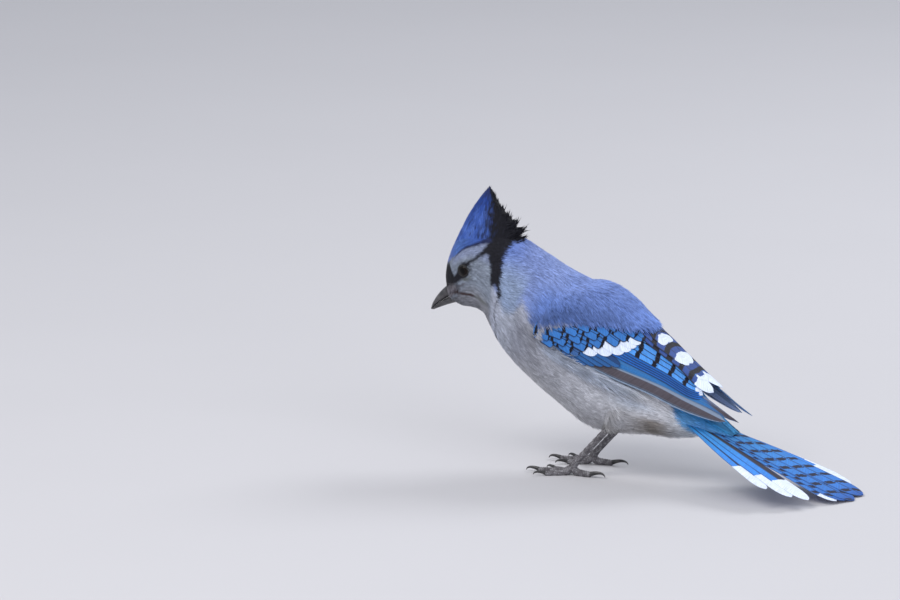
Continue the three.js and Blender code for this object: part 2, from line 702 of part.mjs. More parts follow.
// A round bar along a path of {p, r} points.
function bar(path, sides) {
  const rings = [];
  path.forEach(({ p, r }, i) => {
    const before = path[Math.max(i - 1, 0)].p;
    const after = path[Math.min(i + 1, path.length - 1)].p;
    const dir = after.clone().sub(before).normalize();
    const across = at(0, 1, 0).cross(dir).length() > 0.2 ? at(0, 1, 0).cross(dir).normalize() : at(0, 0, 1);
    const third = dir.clone().cross(across);
    const ring = [];
    for (let j = 0; j < sides; j++) {
      const a = (2 * Math.PI * j) / sides;
      ring.push(
        p.clone().addScaledVector(across, r * Math.cos(a)).addScaledVector(third, r * Math.sin(a)),
      );
    }
    rings.push(ring);
  });
  return loft(rings);
}

const ankle = at(LEG.ankle[0], -LEG.ankle[1], LEG.ankle[2]);
const footMiddle = at(LEG.foot[0], -LEG.foot[1], LEG.foot[2]);

// The bare shank, with its scutes as low steps.
function shank() {
  const path = [];
  const axis = footMiddle.clone().sub(ankle);
  const from = 0.02;
  const to = 1 - (LEG.knob + GAP) / axis.length();
  for (let k = 0; k < LEG.scutes; k++) {
    for (const [t, swell] of [[0.04, 0.93], [0.96, 1.1]]) {
      const s = lerp(from, to, (k + t) / LEG.scutes);
      const taper = 1 + 0.35 * Math.max(0, 0.14 - s) / 0.14 + 0.25 * Math.max(0, s - 0.85) / 0.15;
      path.push({ p: ankle.clone().addScaledVector(axis, s), r: LEG.radius * swell * taper });
    }
  }
  return bar(path, 8);
}

function toeDirection(toe) {
  const turn = radians(toe.turn);
  return at(-Math.cos(turn), -Math.sin(turn), 0);
}

// One toe from the foot's middle to where its claw starts, with its pads as low swellings.
function toeBar(toe) {
  const dir = toeDirection(toe);
  const path = [];
  const steps = 6;
  for (let i = 0; i <= steps; i++) {
    const s = i / steps;
    const r = toe.radius * (1 + 0.14 * Math.sin(s * Math.PI * 5) ** 2) * lerp(1.15, 0.85, s);
    const drop = Math.max(0, 1 - s / 0.3) ** 1.5;
    const p = at(footMiddle.x, footMiddle.y, 0).addScaledVector(dir, toe.length * s);
    p.z = lerp(r * 0.86, footMiddle.z - 1.4, drop);
    path.push({ p, r });
  }
  return bar(path, 7);
}

// The claw, an arched cone that ends on the floor.
function clawBar(toe) {
  const dir = toeDirection(toe);
  const path = [];
  const steps = 5;
  const root = at(footMiddle.x, footMiddle.y, 0).addScaledVector(dir, toe.length + 2 * GAP);
  for (let i = 0; i <= steps; i++) {
    const s = i / steps;
    const r = lerp(toe.radius * 0.68, 0.22, s ** 0.8);
    const p = root.clone().addScaledVector(dir, toe.claw * 0.86 * Math.sin((s * Math.PI) / 2));
    p.z = toe.radius * 0.8 + toe.claw * 0.2 * Math.sin(s * Math.PI * 0.9) * (1 - s * 0.3);
    p.z = Math.max(p.z - toe.radius * 0.55 * s ** 2, r + 0.05);
    path.push({ p, r });
  }
  return bar(path, 6);
}

const underFloor = solid(new THREE.BoxGeometry(400, 400, 40).translate(0, 0, -20));

function makeFoot() {
  const knob = solid(ball(footMiddle, LEG.knob, 9, 6));
  const toes = TOES.map((toe) => solid(toeBar(toe)));
  return join([knob, ...toes]).subtract(underFloor);
}

// The feathered cuff where the leg leaves the belly.
function makeThigh() {
  const high = at(LEG.thighTop[0], -LEG.thighTop[1], LEG.thighTop[2]);
  const middles = [
    high,
    high.clone().lerp(ankle, 0.55),
    ankle.clone().lerp(high, 0.12),
    ankle.clone().lerp(footMiddle, 0.06),
  ];
  const cuff = bar(middles.map((p, i) => ({ p, r: LEG.thighRadii[i] })), 14);
  return solid(cuff).subtract(bodyGrown);
}

// The whole bird

const bird = new THREE.Group();
bird.position.set(-BOX_MIDDLE.x, -BOX_MIDDLE.y, 0);

function piece(name, geometry, color, roughness) {
  const mesh = new THREE.Mesh(geometry, new THREE.MeshStandardMaterial({ color, roughness, metalness: 0 }));
  mesh.name = name;
  bird.add(mesh);
  return mesh;
}

function pair(name, geometry, color, roughness) {
  piece(name + "_left", geometry, color, roughness);
  piece(name + "_right", geometry, color, roughness).scale.y = -1;
}

const FEATHER = 0.85;
const HORN = 0.45;
const [headBlank, neck, torso, tailBase] = bodyPieces();

piece("head", geometryOf(makeHead(headBlank)), 0xc4c6da, FEATHER);
piece("neck", geometryOf(neck), 0x8f9ac6, FEATHER);
piece("torso", geometryOf(torso), 0xa9a3a3, FEATHER);
piece("crest", geometryOf(makeCrest()), 0x3f5bb5, FEATHER);
const billLimit = solid(ribLoft(BODY_RIBS, 0, 6, 14, 24, GAP));
piece("bill_upper", geometryOf(makeUpperBill().subtract(billLimit)), 0x33323a, HORN);
piece("bill_lower", geometryOf(solid(billHalf(BILL.mouth, BILL.chin)).subtract(billLimit)), 0x2f2e36, HORN);
pair("eye", ball(eyeMiddle, EYE.radius, 13, 9), 0x14100e, 0.1);
pair("wing", geometryOf(makeWing()), 0x2f6fc4, 0.6);
piece("tail", geometryOf(makeTail(tailBase)), 0x2c74c4, 0.6);
const thigh = makeThigh();
pair("thigh", geometryOf(thigh), 0xb5aea8, FEATHER);
const foot = makeFoot();
const limits = bodyGrown.add(solid(ball(footMiddle, LEG.knob + GAP, 12, 8)));
pair("tarsus", geometryOf(solid(shank()).subtract(limits).subtract(thigh)), 0x3a3838, HORN);
pair("foot", geometryOf(foot), 0x3a3838, HORN);
for (const toe of TOES) {
  pair("claw_" + toe.name, geometryOf(solid(clawBar(toe)).subtract(underFloor)), 0x2b2a2c, HORN);
}

export default bird;
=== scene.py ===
"""A blue jay at life size: skin, coat, folded wings, tail, crest, bill, eyes and legs on a fixed frame.

Shapes are worked out in millimetres with the bird's middle plane at y = 0 and its left side at -Y,
and are moved into the frame, in metres, as each mesh is made.
"""

import logging
import math
from collections.abc import Callable, Sequence
from dataclasses import dataclass, field, replace
from enum import Enum

import bpy
import numpy as np
from bpy.types import ID, Material, Mesh, Node, NodeTree, Object, bpy_prop_collection
from bpy.types import NodeSocket as Socket
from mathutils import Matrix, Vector


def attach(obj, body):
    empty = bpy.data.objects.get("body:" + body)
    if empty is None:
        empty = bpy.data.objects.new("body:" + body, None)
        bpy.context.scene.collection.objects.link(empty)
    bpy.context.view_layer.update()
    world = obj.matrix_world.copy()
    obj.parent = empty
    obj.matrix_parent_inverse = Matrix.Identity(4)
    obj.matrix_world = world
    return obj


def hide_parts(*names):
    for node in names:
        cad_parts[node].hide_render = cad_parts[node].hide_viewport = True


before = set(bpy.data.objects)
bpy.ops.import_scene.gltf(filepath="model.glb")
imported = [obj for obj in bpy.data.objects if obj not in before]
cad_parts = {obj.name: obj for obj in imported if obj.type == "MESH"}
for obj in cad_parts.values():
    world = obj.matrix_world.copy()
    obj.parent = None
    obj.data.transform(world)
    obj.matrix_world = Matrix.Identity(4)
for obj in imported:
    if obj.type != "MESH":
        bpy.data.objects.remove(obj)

logging.basicConfig(level=logging.INFO, format="%(message)s")
log = logging.getLogger("blue_jay")

Array = np.ndarray
Pair = tuple[float, float]
Triple = tuple[float, float, float]
Box = tuple[float, float, float, float]
Colour = Triple
Path = Sequence[Pair]

MM = 0.001
BODY = "root"
FRAME_SHIFT = np.array([-4.2, 8.68, 0.0])
BAKE_MAP = "OFBake"
WHOLE_PATCH = (0.02, 0.02, 0.98, 0.98)
TUFT_PATCH = 0.003
FAR = 1000.0
TURN = 2 * math.pi
WAVES = 7


class Side(Enum):
    """A side of the bird, as the factor on y of a shape made for the left."""

    LEFT = 1
    RIGHT = -1

    @property
    def label(self) -> str:
        """The side's name in piece names."""
        return self.name.lower()


# Numbers


def rise(low: Array | float, high: Array | float, value: Array) -> Array:
    """Goes smoothly from 0 at low to 1 at high.

    Args:
        low: Where the rise starts.
        high: Where it ends.
        value: What is compared.

    Returns:
        The share risen, from 0 to 1.
    """
    t = np.clip((value - low) / (np.asarray(high) - low), 0, 1)
    return t * t * (3 - 2 * t)


def lerp(a: Array | float, b: Array | float, t: Array | float) -> Array | float:
    """The value a share t of the way from a to b."""
    return a + (b - a) * t


def through(pairs: Sequence[Pair], at: Array | float) -> Array:
    """The value at a place on straight lines through (place, value) pairs."""
    table = np.asarray(pairs, float)
    return np.interp(at, table[:, 0], table[:, 1])


def unit(vectors: Array) -> Array:
    """Vectors scaled to length one."""
    return vectors / np.maximum(np.linalg.norm(vectors, axis=-1, keepdims=True), 1e-12)


def ripple(points: Array, size: float, seed: int) -> Array:
    """A smooth irregular pattern from waves in random directions.

    Args:
        points: Places, in millimetres.
        size: The pattern's rough size, in millimetres.
        seed: Which pattern.

    Returns:
        A value from about -1 to 1 for each place.
    """
    draw = np.random.default_rng(seed)
    stretches = (0.6, 1.5)
    level = 3.2
    waves = unit(draw.normal(size=(WAVES, 3))) * (TURN / size) * draw.uniform(*stretches, (WAVES, 1))
    phases = draw.uniform(0, TURN, WAVES)
    return np.sin(points @ waves.T + phases).sum(-1) / level


def full_circle(count: int) -> Array:
    """Equally spaced angles all the way round."""
    return np.linspace(0, TURN, count, endpoint=False)


def circle(first: Array, second: Array, turn: Array) -> Array:
    """Points round a unit circle, from its two directions."""
    return first * np.cos(turn)[..., None] + second * np.sin(turn)[..., None]


# Meshes


@dataclass
class Shape:
    """Faces with values at their corners and points, gathered before they become one mesh."""

    points: Array
    faces: Array
    corners: Array
    values: dict[str, Array] = field(default_factory=dict)

    def mirrored(self) -> "Shape":
        """The same shape on the other side of the middle plane."""
        return Shape(
            self.points * [1, -1, 1], self.faces[:, ::-1], self.corners[:, ::-1], dict(self.values)
        )

    def on(self, side: Side) -> "Shape":
        """The shape, made for the left, on the given side."""
        return self if side is Side.LEFT else self.mirrored()

    def outward(self) -> "Shape":
        """The closed shape with its faces turned outwards."""
        fan = self.points[self.faces]
        volume = 0.0
        for k in range(1, fan.shape[1] - 1):
            volume += np.einsum("ij,ij->", fan[:, 0], np.cross(fan[:, k], fan[:, k + 1]))
        if volume >= 0:
            return self
        return Shape(self.points, self.faces[:, ::-1], self.corners[:, ::-1], self.values)


def joined(shapes: Sequence[Shape]) -> Shape:
    """Several shapes, all of faces with the same number of corners, as one."""
    starts = np.cumsum([0, *(len(s.points) for s in shapes[:-1])])
    return Shape(
        np.concatenate([s.points for s in shapes]),
        np.concatenate([s.faces + start for s, start in zip(shapes, starts)]),
        np.concatenate([s.corners for s in shapes]),
        {k: np.concatenate([s.values[k] for s in shapes]) for k in shapes[0].values},
    )


def write_values(mesh: Mesh, values: dict[str, Array], domain: str = "POINT") -> None:
    """Stores named values on a mesh.

    Args:
        mesh: The mesh.
        values: For each name one number, vector or colour for each element.
        domain: The kind of element.
    """
    kinds = {1: ("FLOAT", "value"), 3: ("FLOAT_VECTOR", "vector"), 4: ("FLOAT_COLOR", "color")}
    for name, data in values.items():
        kind, label = kinds[data.shape[1] if data.ndim > 1 else 1]
        kind = "INT" if data.dtype.kind == "i" else kind
        mesh.attributes.new(name, kind, domain).data.foreach_set(label, data.ravel())


def read_values(items: bpy_prop_collection, label: str, count: int, kind: type = np.float32) -> Array:
    """One value of every element, or the numbers of one vector of every element."""
    data = np.zeros(count, kind)
    items.foreach_get(label, data)
    return data


def linked(name: str, data: ID) -> Object:
    """A new object in the scene."""
    piece = bpy.data.objects.new(name, data)
    bpy.context.scene.collection.objects.link(piece)
    return piece


def make_object(name: str, shape: Shape, sharp: float | None = None) -> Object:
    """A mesh object from a shape, moved into the frame.

    Args:
        name: The object's name.
        shape: Points in millimetres and faces.
        sharp: The angle in degrees past which an edge is drawn sharp.

    Returns:
        The object, linked into the scene.
    """
    mesh = bpy.data.meshes.new(name)
    sides = shape.faces.shape[1]
    mesh.vertices.add(len(shape.points))
    mesh.vertices.foreach_set("co", ((shape.points + FRAME_SHIFT) * MM).astype(np.float32).ravel())
    mesh.loops.add(shape.faces.size)
    mesh.loops.foreach_set("vertex_index", shape.faces.astype(np.int32).ravel())
    mesh.polygons.add(len(shape.faces))
    mesh.polygons.foreach_set("loop_start", np.arange(0, shape.faces.size, sides, dtype=np.int32))
    mesh.update(calc_edges=True)
    mesh.uv_layers.new(name=BAKE_MAP).uv.foreach_set("vector", shape.corners.astype(np.float32).ravel())
    write_values(mesh, shape.values)
    mesh.shade_smooth()
    mesh.validate()
    if sharp is not None:
        mesh.set_sharp_from_angle(angle=math.radians(sharp))
    return linked(name, mesh)


def settle(piece: Object, stands_for: Sequence[str] = ()) -> None:
    """Puts a finished piece on the frame.

    Args:
        piece: The piece.
        stands_for: The frame's nodes that it is shown instead of.
    """
    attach(piece, BODY)
    if stands_for:
        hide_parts(*stands_for)
    piece.data.calc_loop_triangles()
    log.info("%s: %d triangles", piece.name, len(piece.data.loop_triangles))


def add_piece(
    name: str,
    shape: Shape,
    finish: Material,
    stands_for: Sequence[str] = (),
    sharp: float | None = None,
) -> Object:
    """Makes a piece, gives it its finish and puts it on the frame.

    Args:
        name: The piece's name.
        shape: Its shape, in millimetres.
        finish: Its finish.
        stands_for: The frame's nodes that it is shown instead of.
        sharp: The angle in degrees past which an edge is drawn sharp.

    Returns:
        The piece.
    """
    piece = make_object(name, shape, sharp)
    piece.data.materials.append(finish)
    settle(piece, stands_for)
    return piece


def grid_shape(grid: Array, closed_round: bool, patch: Box) -> Shape:
    """Quads over a grid of points.

    Args:
        grid: Points as (rows, columns, 3).
        closed_round: Whether the last column joins the first.
        patch: The part of the bake map that the grid fills: left, low, right, high.

    Returns:
        The open shape.
    """
    rows, columns = grid.shape[:2]
    spans = columns if closed_round else columns - 1
    i, j = (index.ravel() for index in np.meshgrid(np.arange(rows - 1), np.arange(spans), indexing="ij"))
    nxt = (j + 1) % columns
    here, above = i * columns, (i + 1) * columns
    faces = np.stack([here + j, here + nxt, above + nxt, above + j], 1)
    left, low, right, high = patch
    corner_u = np.stack([j, j + 1, j + 1, j], 1) / spans
    corner_v = np.stack([i, i, i + 1, i + 1], 1) / (rows - 1)
    corners = np.stack([lerp(left, right, corner_u), lerp(low, high, corner_v)], -1)
    return Shape(grid.reshape(-1, 3), faces, corners)


# How far from its middle each row of a tube's closed end lies, as a share of the tube's radius.
CAP_STEPS = (0.5, 0.12, 0.004)
CAP_ROWS = len(CAP_STEPS)
# How wide the closed hole's faces are on the bake map.
HOLE_PATCH = 0.004


def tube_shape(rings: Array, patch: Box = WHOLE_PATCH) -> Shape:
    """A closed skin through rings of points, each end drawn in to a small hole that is closed.

    Args:
        rings: Points as (rings, points round, 3).
        patch: The part of the bake map that it fills.

    Returns:
        The closed shape, of quads.
    """
    ends = [rings[k].mean(0) for k in (0, -1)]
    first = [lerp(ends[0], rings[0], t) for t in reversed(CAP_STEPS)]
    last = [lerp(ends[1], rings[-1], t) for t in CAP_STEPS]
    grid = np.concatenate([np.stack(first), rings, np.stack(last)])
    shape = grid_shape(grid, True, patch)
    count = rings.shape[1]
    far = (len(grid) - 1) * count
    half = count // 2
    caps = []
    for start in (0, far):
        for k in range(half - 1):
            caps.append([start + k, start + k + 1, start + count - 2 - k, start + count - 1 - k])
    caps = np.array(caps)
    caps[: half - 1] = caps[: half - 1, ::-1]
    where = np.array(patch[:2]) + np.array([[0, 0], [1, 0], [1, 1], [0, 1]]) * HOLE_PATCH
    return Shape(
        shape.points,
        np.concatenate([shape.faces, caps]),
        np.concatenate([shape.corners, np.repeat(where[None], len(caps), 0)]),
    ).outward()


# How a plate fills its cell of the bake map: the size of a face's part, where the upper and lower
# face's parts start, and how far the rim's faces reach out from the upper part's middle.
FACE_PART = np.array([0.44, 0.96])
UPPER_START = np.array([0.02, 0.02])
LOWER_START = np.array([0.52, 0.02])
RIM_REACH = np.array([0.06, 0.02])


def plate_shape(top: Array, bottom: Array, cell: Box) -> Shape:
    """A thin closed plate between two grids of points.

    Args:
        top: The upper face's points as (stations, places across, 3).
        bottom: The lower face's points.
        cell: The part of the bake map that it fills: left, low, width, height.

    Returns:
        The closed shape, of quads.
    """
    n, m = top.shape[0] - 1, top.shape[1] - 1
    half = (n + 1) * (m + 1)
    index = np.arange(half).reshape(n + 1, m + 1)
    i, j = np.meshgrid(np.arange(n), np.arange(m), indexing="ij")
    a, b = index[i, j].ravel(), index[i, j + 1].ravel()
    c, d = index[i + 1, j + 1].ravel(), index[i + 1, j].ravel()
    upper = np.stack([a, b, c, d], 1)
    lower = np.stack([a, d, c, b], 1) + half
    rim = []
    for line in (index[:, 0], index[::-1, m], index[0, ::-1], index[n, :]):
        rim.append(np.stack([line[:-1], line[1:], line[1:] + half, line[:-1] + half], 1))
    rim = np.concatenate(rim)
    place = np.stack([(index % (m + 1)) / m, (index // (m + 1)) / n], -1).reshape(-1, 2)
    upper_at = place[upper] * FACE_PART + UPPER_START
    lower_at = place[lower - half] * FACE_PART + LOWER_START
    centre = UPPER_START + FACE_PART / 2
    flat = place[np.where(rim >= half, rim - half, rim)] * FACE_PART + UPPER_START
    out = np.where((rim >= half)[..., None], (flat - centre) * RIM_REACH, 0)
    corners = np.concatenate([upper_at, lower_at, flat + out])
    corners = corners * [cell[2], cell[3]] + [cell[0], cell[1]]
    points = np.concatenate([top.reshape(-1, 3), bottom.reshape(-1, 3)])
    return Shape(points, np.concatenate([upper, lower, rim]), corners).outward()


def cells(count: int, columns: int) -> list[Box]:
    """Equal cells of the bake map, one for each of a number of plates."""
    rows = math.ceil(count / columns)
    return [((k % columns) / columns, (k // columns) / rows, 1 / columns, 1 / rows) for k in range(count)]


# The body's surface


class RibSurface:
    """A smooth surface through ribs, each with its top and bottom in the middle plane and a half width."""

    roundness: float = 0.92
    step: float = 0.02

    def __init__(self, ribs: Sequence[tuple[float, ...]]) -> None:
        """Keeps the ribs.

        Args:
            ribs: For each rib top x, top z, bottom x, bottom z, half width and how high it is widest.
        """
        self.table = np.asarray(ribs, float)
        self.last = len(ribs) - 1

    def values(self, u: Array) -> Array:
        """The ribs' values at places along them, on a smooth curve."""
        last = self.last
        u = np.clip(np.asarray(u, float), 0, last)
        i = np.minimum(np.floor(u).astype(int), last - 1)
        t = (u - i)[..., None]
        a = self.table[np.maximum(i - 1, 0)]
        b = self.table[i]
        c = self.table[i + 1]
        d = self.table[np.minimum(i + 2, last)]
        square = (2 * a - 5 * b + 4 * c - d) * t**2
        return 0.5 * (2 * b + (c - a) * t + square + (3 * b - a - 3 * c + d) * t**3)

    def at(self, u: Array, angle: Array, grow: Array | float = 0.0) -> Array:
        """Points of the surface.

        Args:
            u: Places along it, in ribs.
            angle: Angles round it from its top, in radians, positive on the left.
            grow: How far outside it.

        Returns:
            The points.
        """
        u, angle, grow = np.broadcast_arrays(u, angle, grow)
        v = self.values(u)
        zero = np.zeros_like(v[..., 0])
        top = np.stack([v[..., 0], zero, v[..., 1]], -1)
        bottom = np.stack([v[..., 2], zero, v[..., 3]], -1)
        up = unit(top - bottom) * grow[..., None]
        top, bottom = top + up, bottom - up
        widest, half = v[..., 5], v[..., 4] + grow
        c, s = np.cos(angle), np.sin(angle)
        height = widest + np.where(c > 0, 1 - widest, widest) * c
        point = lerp(bottom, top, height[..., None])
        point[..., 1] = -half * np.sign(s) * np.abs(s) ** self.roundness
        return point

    def axes(self, u: Array, angle: Array) -> tuple[Array, Array, Array]:
        """Unit directions at places of the surface: along it, round it downwards, and out of it."""
        u, angle = np.broadcast_arrays(u, angle)
        step = self.step
        ahead = self.at(np.minimum(u + step, self.last), angle) - self.at(np.maximum(u - step, 0), angle)
        swing = np.where(np.sin(angle) >= 0, 1.0, -1.0)
        down = self.at(u, angle + step) - self.at(u, angle - step)
        out = unit(np.cross(ahead, down))
        middle = lerp(self.at(u, np.zeros_like(angle)), self.at(u, np.full_like(angle, math.pi)), 0.5)
        outer = self.at(u, angle) - middle
        out = out * np.where((out * outer).sum(-1, keepdims=True) < 0, -1.0, 1.0)
        return unit(ahead), unit(down) * swing[..., None], out

    def speeds(self, u: Array, angle: Array) -> tuple[Array, Array]:
        """How many millimetres lie in one rib along, and in one degree round, at places of the surface."""
        step = self.step
        ahead = np.linalg.norm(self.at(u + step, angle) - self.at(u - step, angle), axis=-1) / (2 * step)
        turn = np.linalg.norm(self.at(u, angle + step) - self.at(u, angle - step), axis=-1)
        return np.maximum(ahead, 1.0), np.maximum(turn / np.degrees(2 * step), 0.02)

    def nearest(self, x: float, z: float) -> Pair:
        """The place on the left side that lies at x and z, seen from the side."""
        rounds, count, closer = 6, 41, 12
        u0, u1, a0, a1 = 0.0, float(self.last), 0.0, math.pi
        for _ in range(rounds):
            u, a = np.meshgrid(np.linspace(u0, u1, count), np.linspace(a0, a1, count), indexing="ij")
            p = self.at(u, a)
            k = np.argmin(np.hypot(p[..., 0] - x, p[..., 2] - z))
            best_u, best_a = u.ravel()[k], a.ravel()[k]
            du, da = (u1 - u0) / closer, (a1 - a0) / closer
            u0, u1 = max(best_u - du, 0), min(best_u + du, self.last)
            a0, a1 = max(best_a - da, 0), min(best_a + da, math.pi)
        return float(best_u), float(best_a)


BODY_SURFACE = RibSurface(
    [
        (-115.0, 98.5, -110.8, 90.0, 4.6, 0.5),
        (-115.8, 107.0, -105.5, 88.0, 8.8, 0.52),
        (-113.8, 117.0, -100.0, 87.5, 11.6, 0.55),
        (-108.8, 127.0, -95.5, 86.5, 13.4, 0.55),
        (-99.0, 133.5, -90.5, 83.5, 15.0, 0.55),
        (-85.0, 134.5, -87.0, 77.5, 16.8, 0.52),
        (-71.5, 130.0, -83.0, 70.5, 19.3, 0.5),
        (-58.7, 123.3, -77.2, 63.5, 22.6, 0.5),
        (-44.3, 115.4, -68.7, 55.5, 25.6, 0.5),
        (-29.0, 108.6, -56.8, 46.6, 28.0, 0.5),
        (-12.2, 100.2, -42.1, 37.4, 28.8, 0.5),
        (2.2, 87.4, -27.4, 29.3, 27.6, 0.5),
        (14.0, 75.6, -10.5, 26.5, 25.0, 0.5),
        (24.4, 64.6, 6.5, 26.4, 20.8, 0.5),
        (34.4, 55.0, 20.5, 25.6, 16.4, 0.5),
        (44.4, 46.2, 33.0, 25.0, 13.2, 0.5),
        (54.0, 38.2, 44.4, 25.4, 11.6, 0.5),
        (63.5, 31.4, 55.0, 26.6, 9.6, 0.5),
    ]
)
# The wings' ribs start level with this rib of the body.
WING_FIRST_RIB = 7
WING_SURFACE = RibSurface(
    [
        (-59.5, 125.5, -78.0, 62.5, 23.4, 0.5),
        (-45.0, 118.2, -69.5, 54.5, 27.0, 0.5),
        (-29.5, 111.2, -57.5, 45.5, 29.8, 0.5),
        (-12.5, 102.5, -42.5, 36.5, 30.8, 0.5),
        (2.2, 90.2, -27.5, 29.0, 30.0, 0.5),
        (15.7, 79.0, -10.5, 26.5, 28.0, 0.5),
        (28.2, 68.7, 6.5, 24.5, 24.6, 0.5),
        (39.8, 59.8, 22.0, 19.5, 20.8, 0.5),
        (51.8, 51.8, 37.0, 14.5, 17.2, 0.5),
        (64.2, 44.6, 51.5, 9.5, 13.8, 0.5),
        (77.0, 38.0, 66.0, 4.5, 10.5, 0.5),
    ]
)
WING_LOWER = ((1.4, 90), (3, 87), (4, 80), (5.4, 74), (7, 69), (8.7, 61), (9.4, 52))
WING_UPPER = ((1.4, 74), (2.5, 46), (3.4, 30), (4.3, 20), (6.05, 7), (7.8, 4), (9.4, 12))


# Node trees


class Nodes:
    """Adds nodes to one tree."""

    def __init__(self, tree: NodeTree) -> None:
        """Keeps the tree."""
        self.tree = tree

    def add(self, kind: str, settings: dict | None = None, **inputs: object) -> Node:
        """Adds a node.

        Args:
            kind: The node's type.
            settings: Its properties.
            inputs: Values or sockets for its inputs, named with underscores for spaces.

        Returns:
            The node.
        """
        node = self.tree.nodes.new(kind)
        for key, value in (settings or {}).items():
            setattr(node, key, value)
        self.set(node, **inputs)
        return node

    def set(self, node: Node, **inputs: object) -> None:
        """Gives a node's inputs values or sockets, named with underscores for spaces."""
        for key, value in inputs.items():
            name = key.replace("_", " ")
            self.feed(next(s for s in node.inputs if s.enabled and s.name == name), value)

    def feed(self, socket: Socket, value: object) -> None:
        """Links a socket into an input, or sets the input's value."""
        if isinstance(value, Socket):
            self.tree.links.new(value, socket)
        elif socket.type == "RGBA":
            socket.default_value = (*value[:3], 1.0)
        else:
            socket.default_value = value

    def fed(self, node: Node, *values: object) -> Node:
        """The node, with its first inputs fed in their order."""
        for socket, value in zip(node.inputs, values):
            self.feed(socket, value)
        return node

    def out(self, node: Node, name: str = "") -> Socket:
        """A node's enabled output of that name, or its first one."""
        return next(s for s in node.outputs if s.enabled and (not name or s.name == name))

    def math(self, operation: str, *values: object) -> Socket:
        """A sum on numbers."""
        return self.fed(self.add("ShaderNodeMath", {"operation": operation}), *values).outputs[0]

    def times(self, a: object, b: object) -> Socket:
        """The product of two numbers."""
        return self.math("MULTIPLY", a, b)

    def plus(self, a: object, b: object) -> Socket:
        """The sum of two numbers."""
        return self.math("ADD", a, b)

    def line(self, value: object, slope: object, start: object) -> Socket:
        """A value times a slope, added to a start."""
        return self.math("MULTIPLY_ADD", value, slope, start)

    def vector(self, operation: str, *values: object) -> Socket:
        """A sum on vectors."""
        return self.fed(self.add("ShaderNodeVectorMath", {"operation": operation}), *values).outputs[0]

    def scaled(self, vector: object, scale: object) -> Socket:
        """A vector times a number."""
        node = self.fed(self.add("ShaderNodeVectorMath", {"operation": "SCALE"}), vector)
        self.feed(node.inputs["Scale"], scale)
        return node.outputs[0]

    def dot(self, a: object, b: object) -> Socket:
        """The dot product of two vectors."""
        node = self.add("ShaderNodeVectorMath", {"operation": "DOT_PRODUCT"})
        return self.fed(node, a, b).outputs["Value"]

    def combine(self, x: object, y: object, z: object) -> Socket:
        """A vector from three numbers."""
        return self.out(self.add("ShaderNodeCombineXYZ", X=x, Y=y, Z=z))

    def split(self, name: str) -> tuple[Socket, ...]:
        """The three numbers of a stored vector."""
        return tuple(self.add("ShaderNodeSeparateXYZ", Vector=self.attribute(name)).outputs)

    def ramp(
        self, value: object, low: object, high: object, start: object = 0.0, end: object = 1.0
    ) -> Socket:
        """A smooth rise of a value from start to end between two limits."""
        node = self.add("ShaderNodeMapRange", {"interpolation_type": "SMOOTHSTEP"})
        return self.fed(node, value, low, high, start, end).outputs[0]

    def mix(self, share: object, first: object, second: object) -> Socket:
        """A mix of two colours."""
        node = self.add("ShaderNodeMix", {"data_type": "RGBA"})
        for k, value in ((0, share), (6, first), (7, second)):
            self.feed(node.inputs[k], value)
        return node.outputs[2]

    def attribute(self, name: str, output: str = "Vector") -> Socket:
        """A stored value of the piece."""
        return self.add("ShaderNodeAttribute", {"attribute_name": name}).outputs[output]

    def place(self) -> Socket:
        """The place on the piece, in metres."""
        return self.add("ShaderNodeTexCoord").outputs["Object"]

    def noise(self, vector: object, scale: float, detail: float = 2.0, roughness: float = 0.5) -> Socket:
        """Noise from 0 to 1."""
        inputs = {"Vector": vector, "Scale": scale, "Detail": detail, "Roughness": roughness}
        return self.add("ShaderNodeTexNoise", **inputs).outputs[0]

    def fine(self, vector: object, scale: float) -> Socket:
        """Noise with more fine detail."""
        return self.noise(vector, scale, 3.0, 0.6)

    def bump(self, height: object, strength: float, distance: float) -> Socket:
        """A normal from a height."""
        inputs = {"Strength": strength, "Distance": distance, "Height": height}
        return self.add("ShaderNodeBump", **inputs).outputs[0]


def new_group(name: str, inputs: dict[str, float], outputs: Sequence[str]) -> tuple:
    """Starts a shader node group that takes and gives numbers.

    Args:
        name: Its name.
        inputs: The default of each input.
        outputs: The outputs' names.

    Returns:
        The group, its node adder, the sockets that it is given and its output node.
    """
    tree = bpy.data.node_groups.new(name, "ShaderNodeTree")
    for label, default in inputs.items():
        socket = tree.interface.new_socket(label, in_out="INPUT", socket_type="NodeSocketFloat")
        socket.default_value = default
    for label in outputs:
        tree.interface.new_socket(label, in_out="OUTPUT", socket_type="NodeSocketFloat")
    nodes = Nodes(tree)
    given = nodes.add("NodeGroupInput")
    return tree, nodes, [given.outputs[label] for label in inputs], nodes.add("NodeGroupOutput")


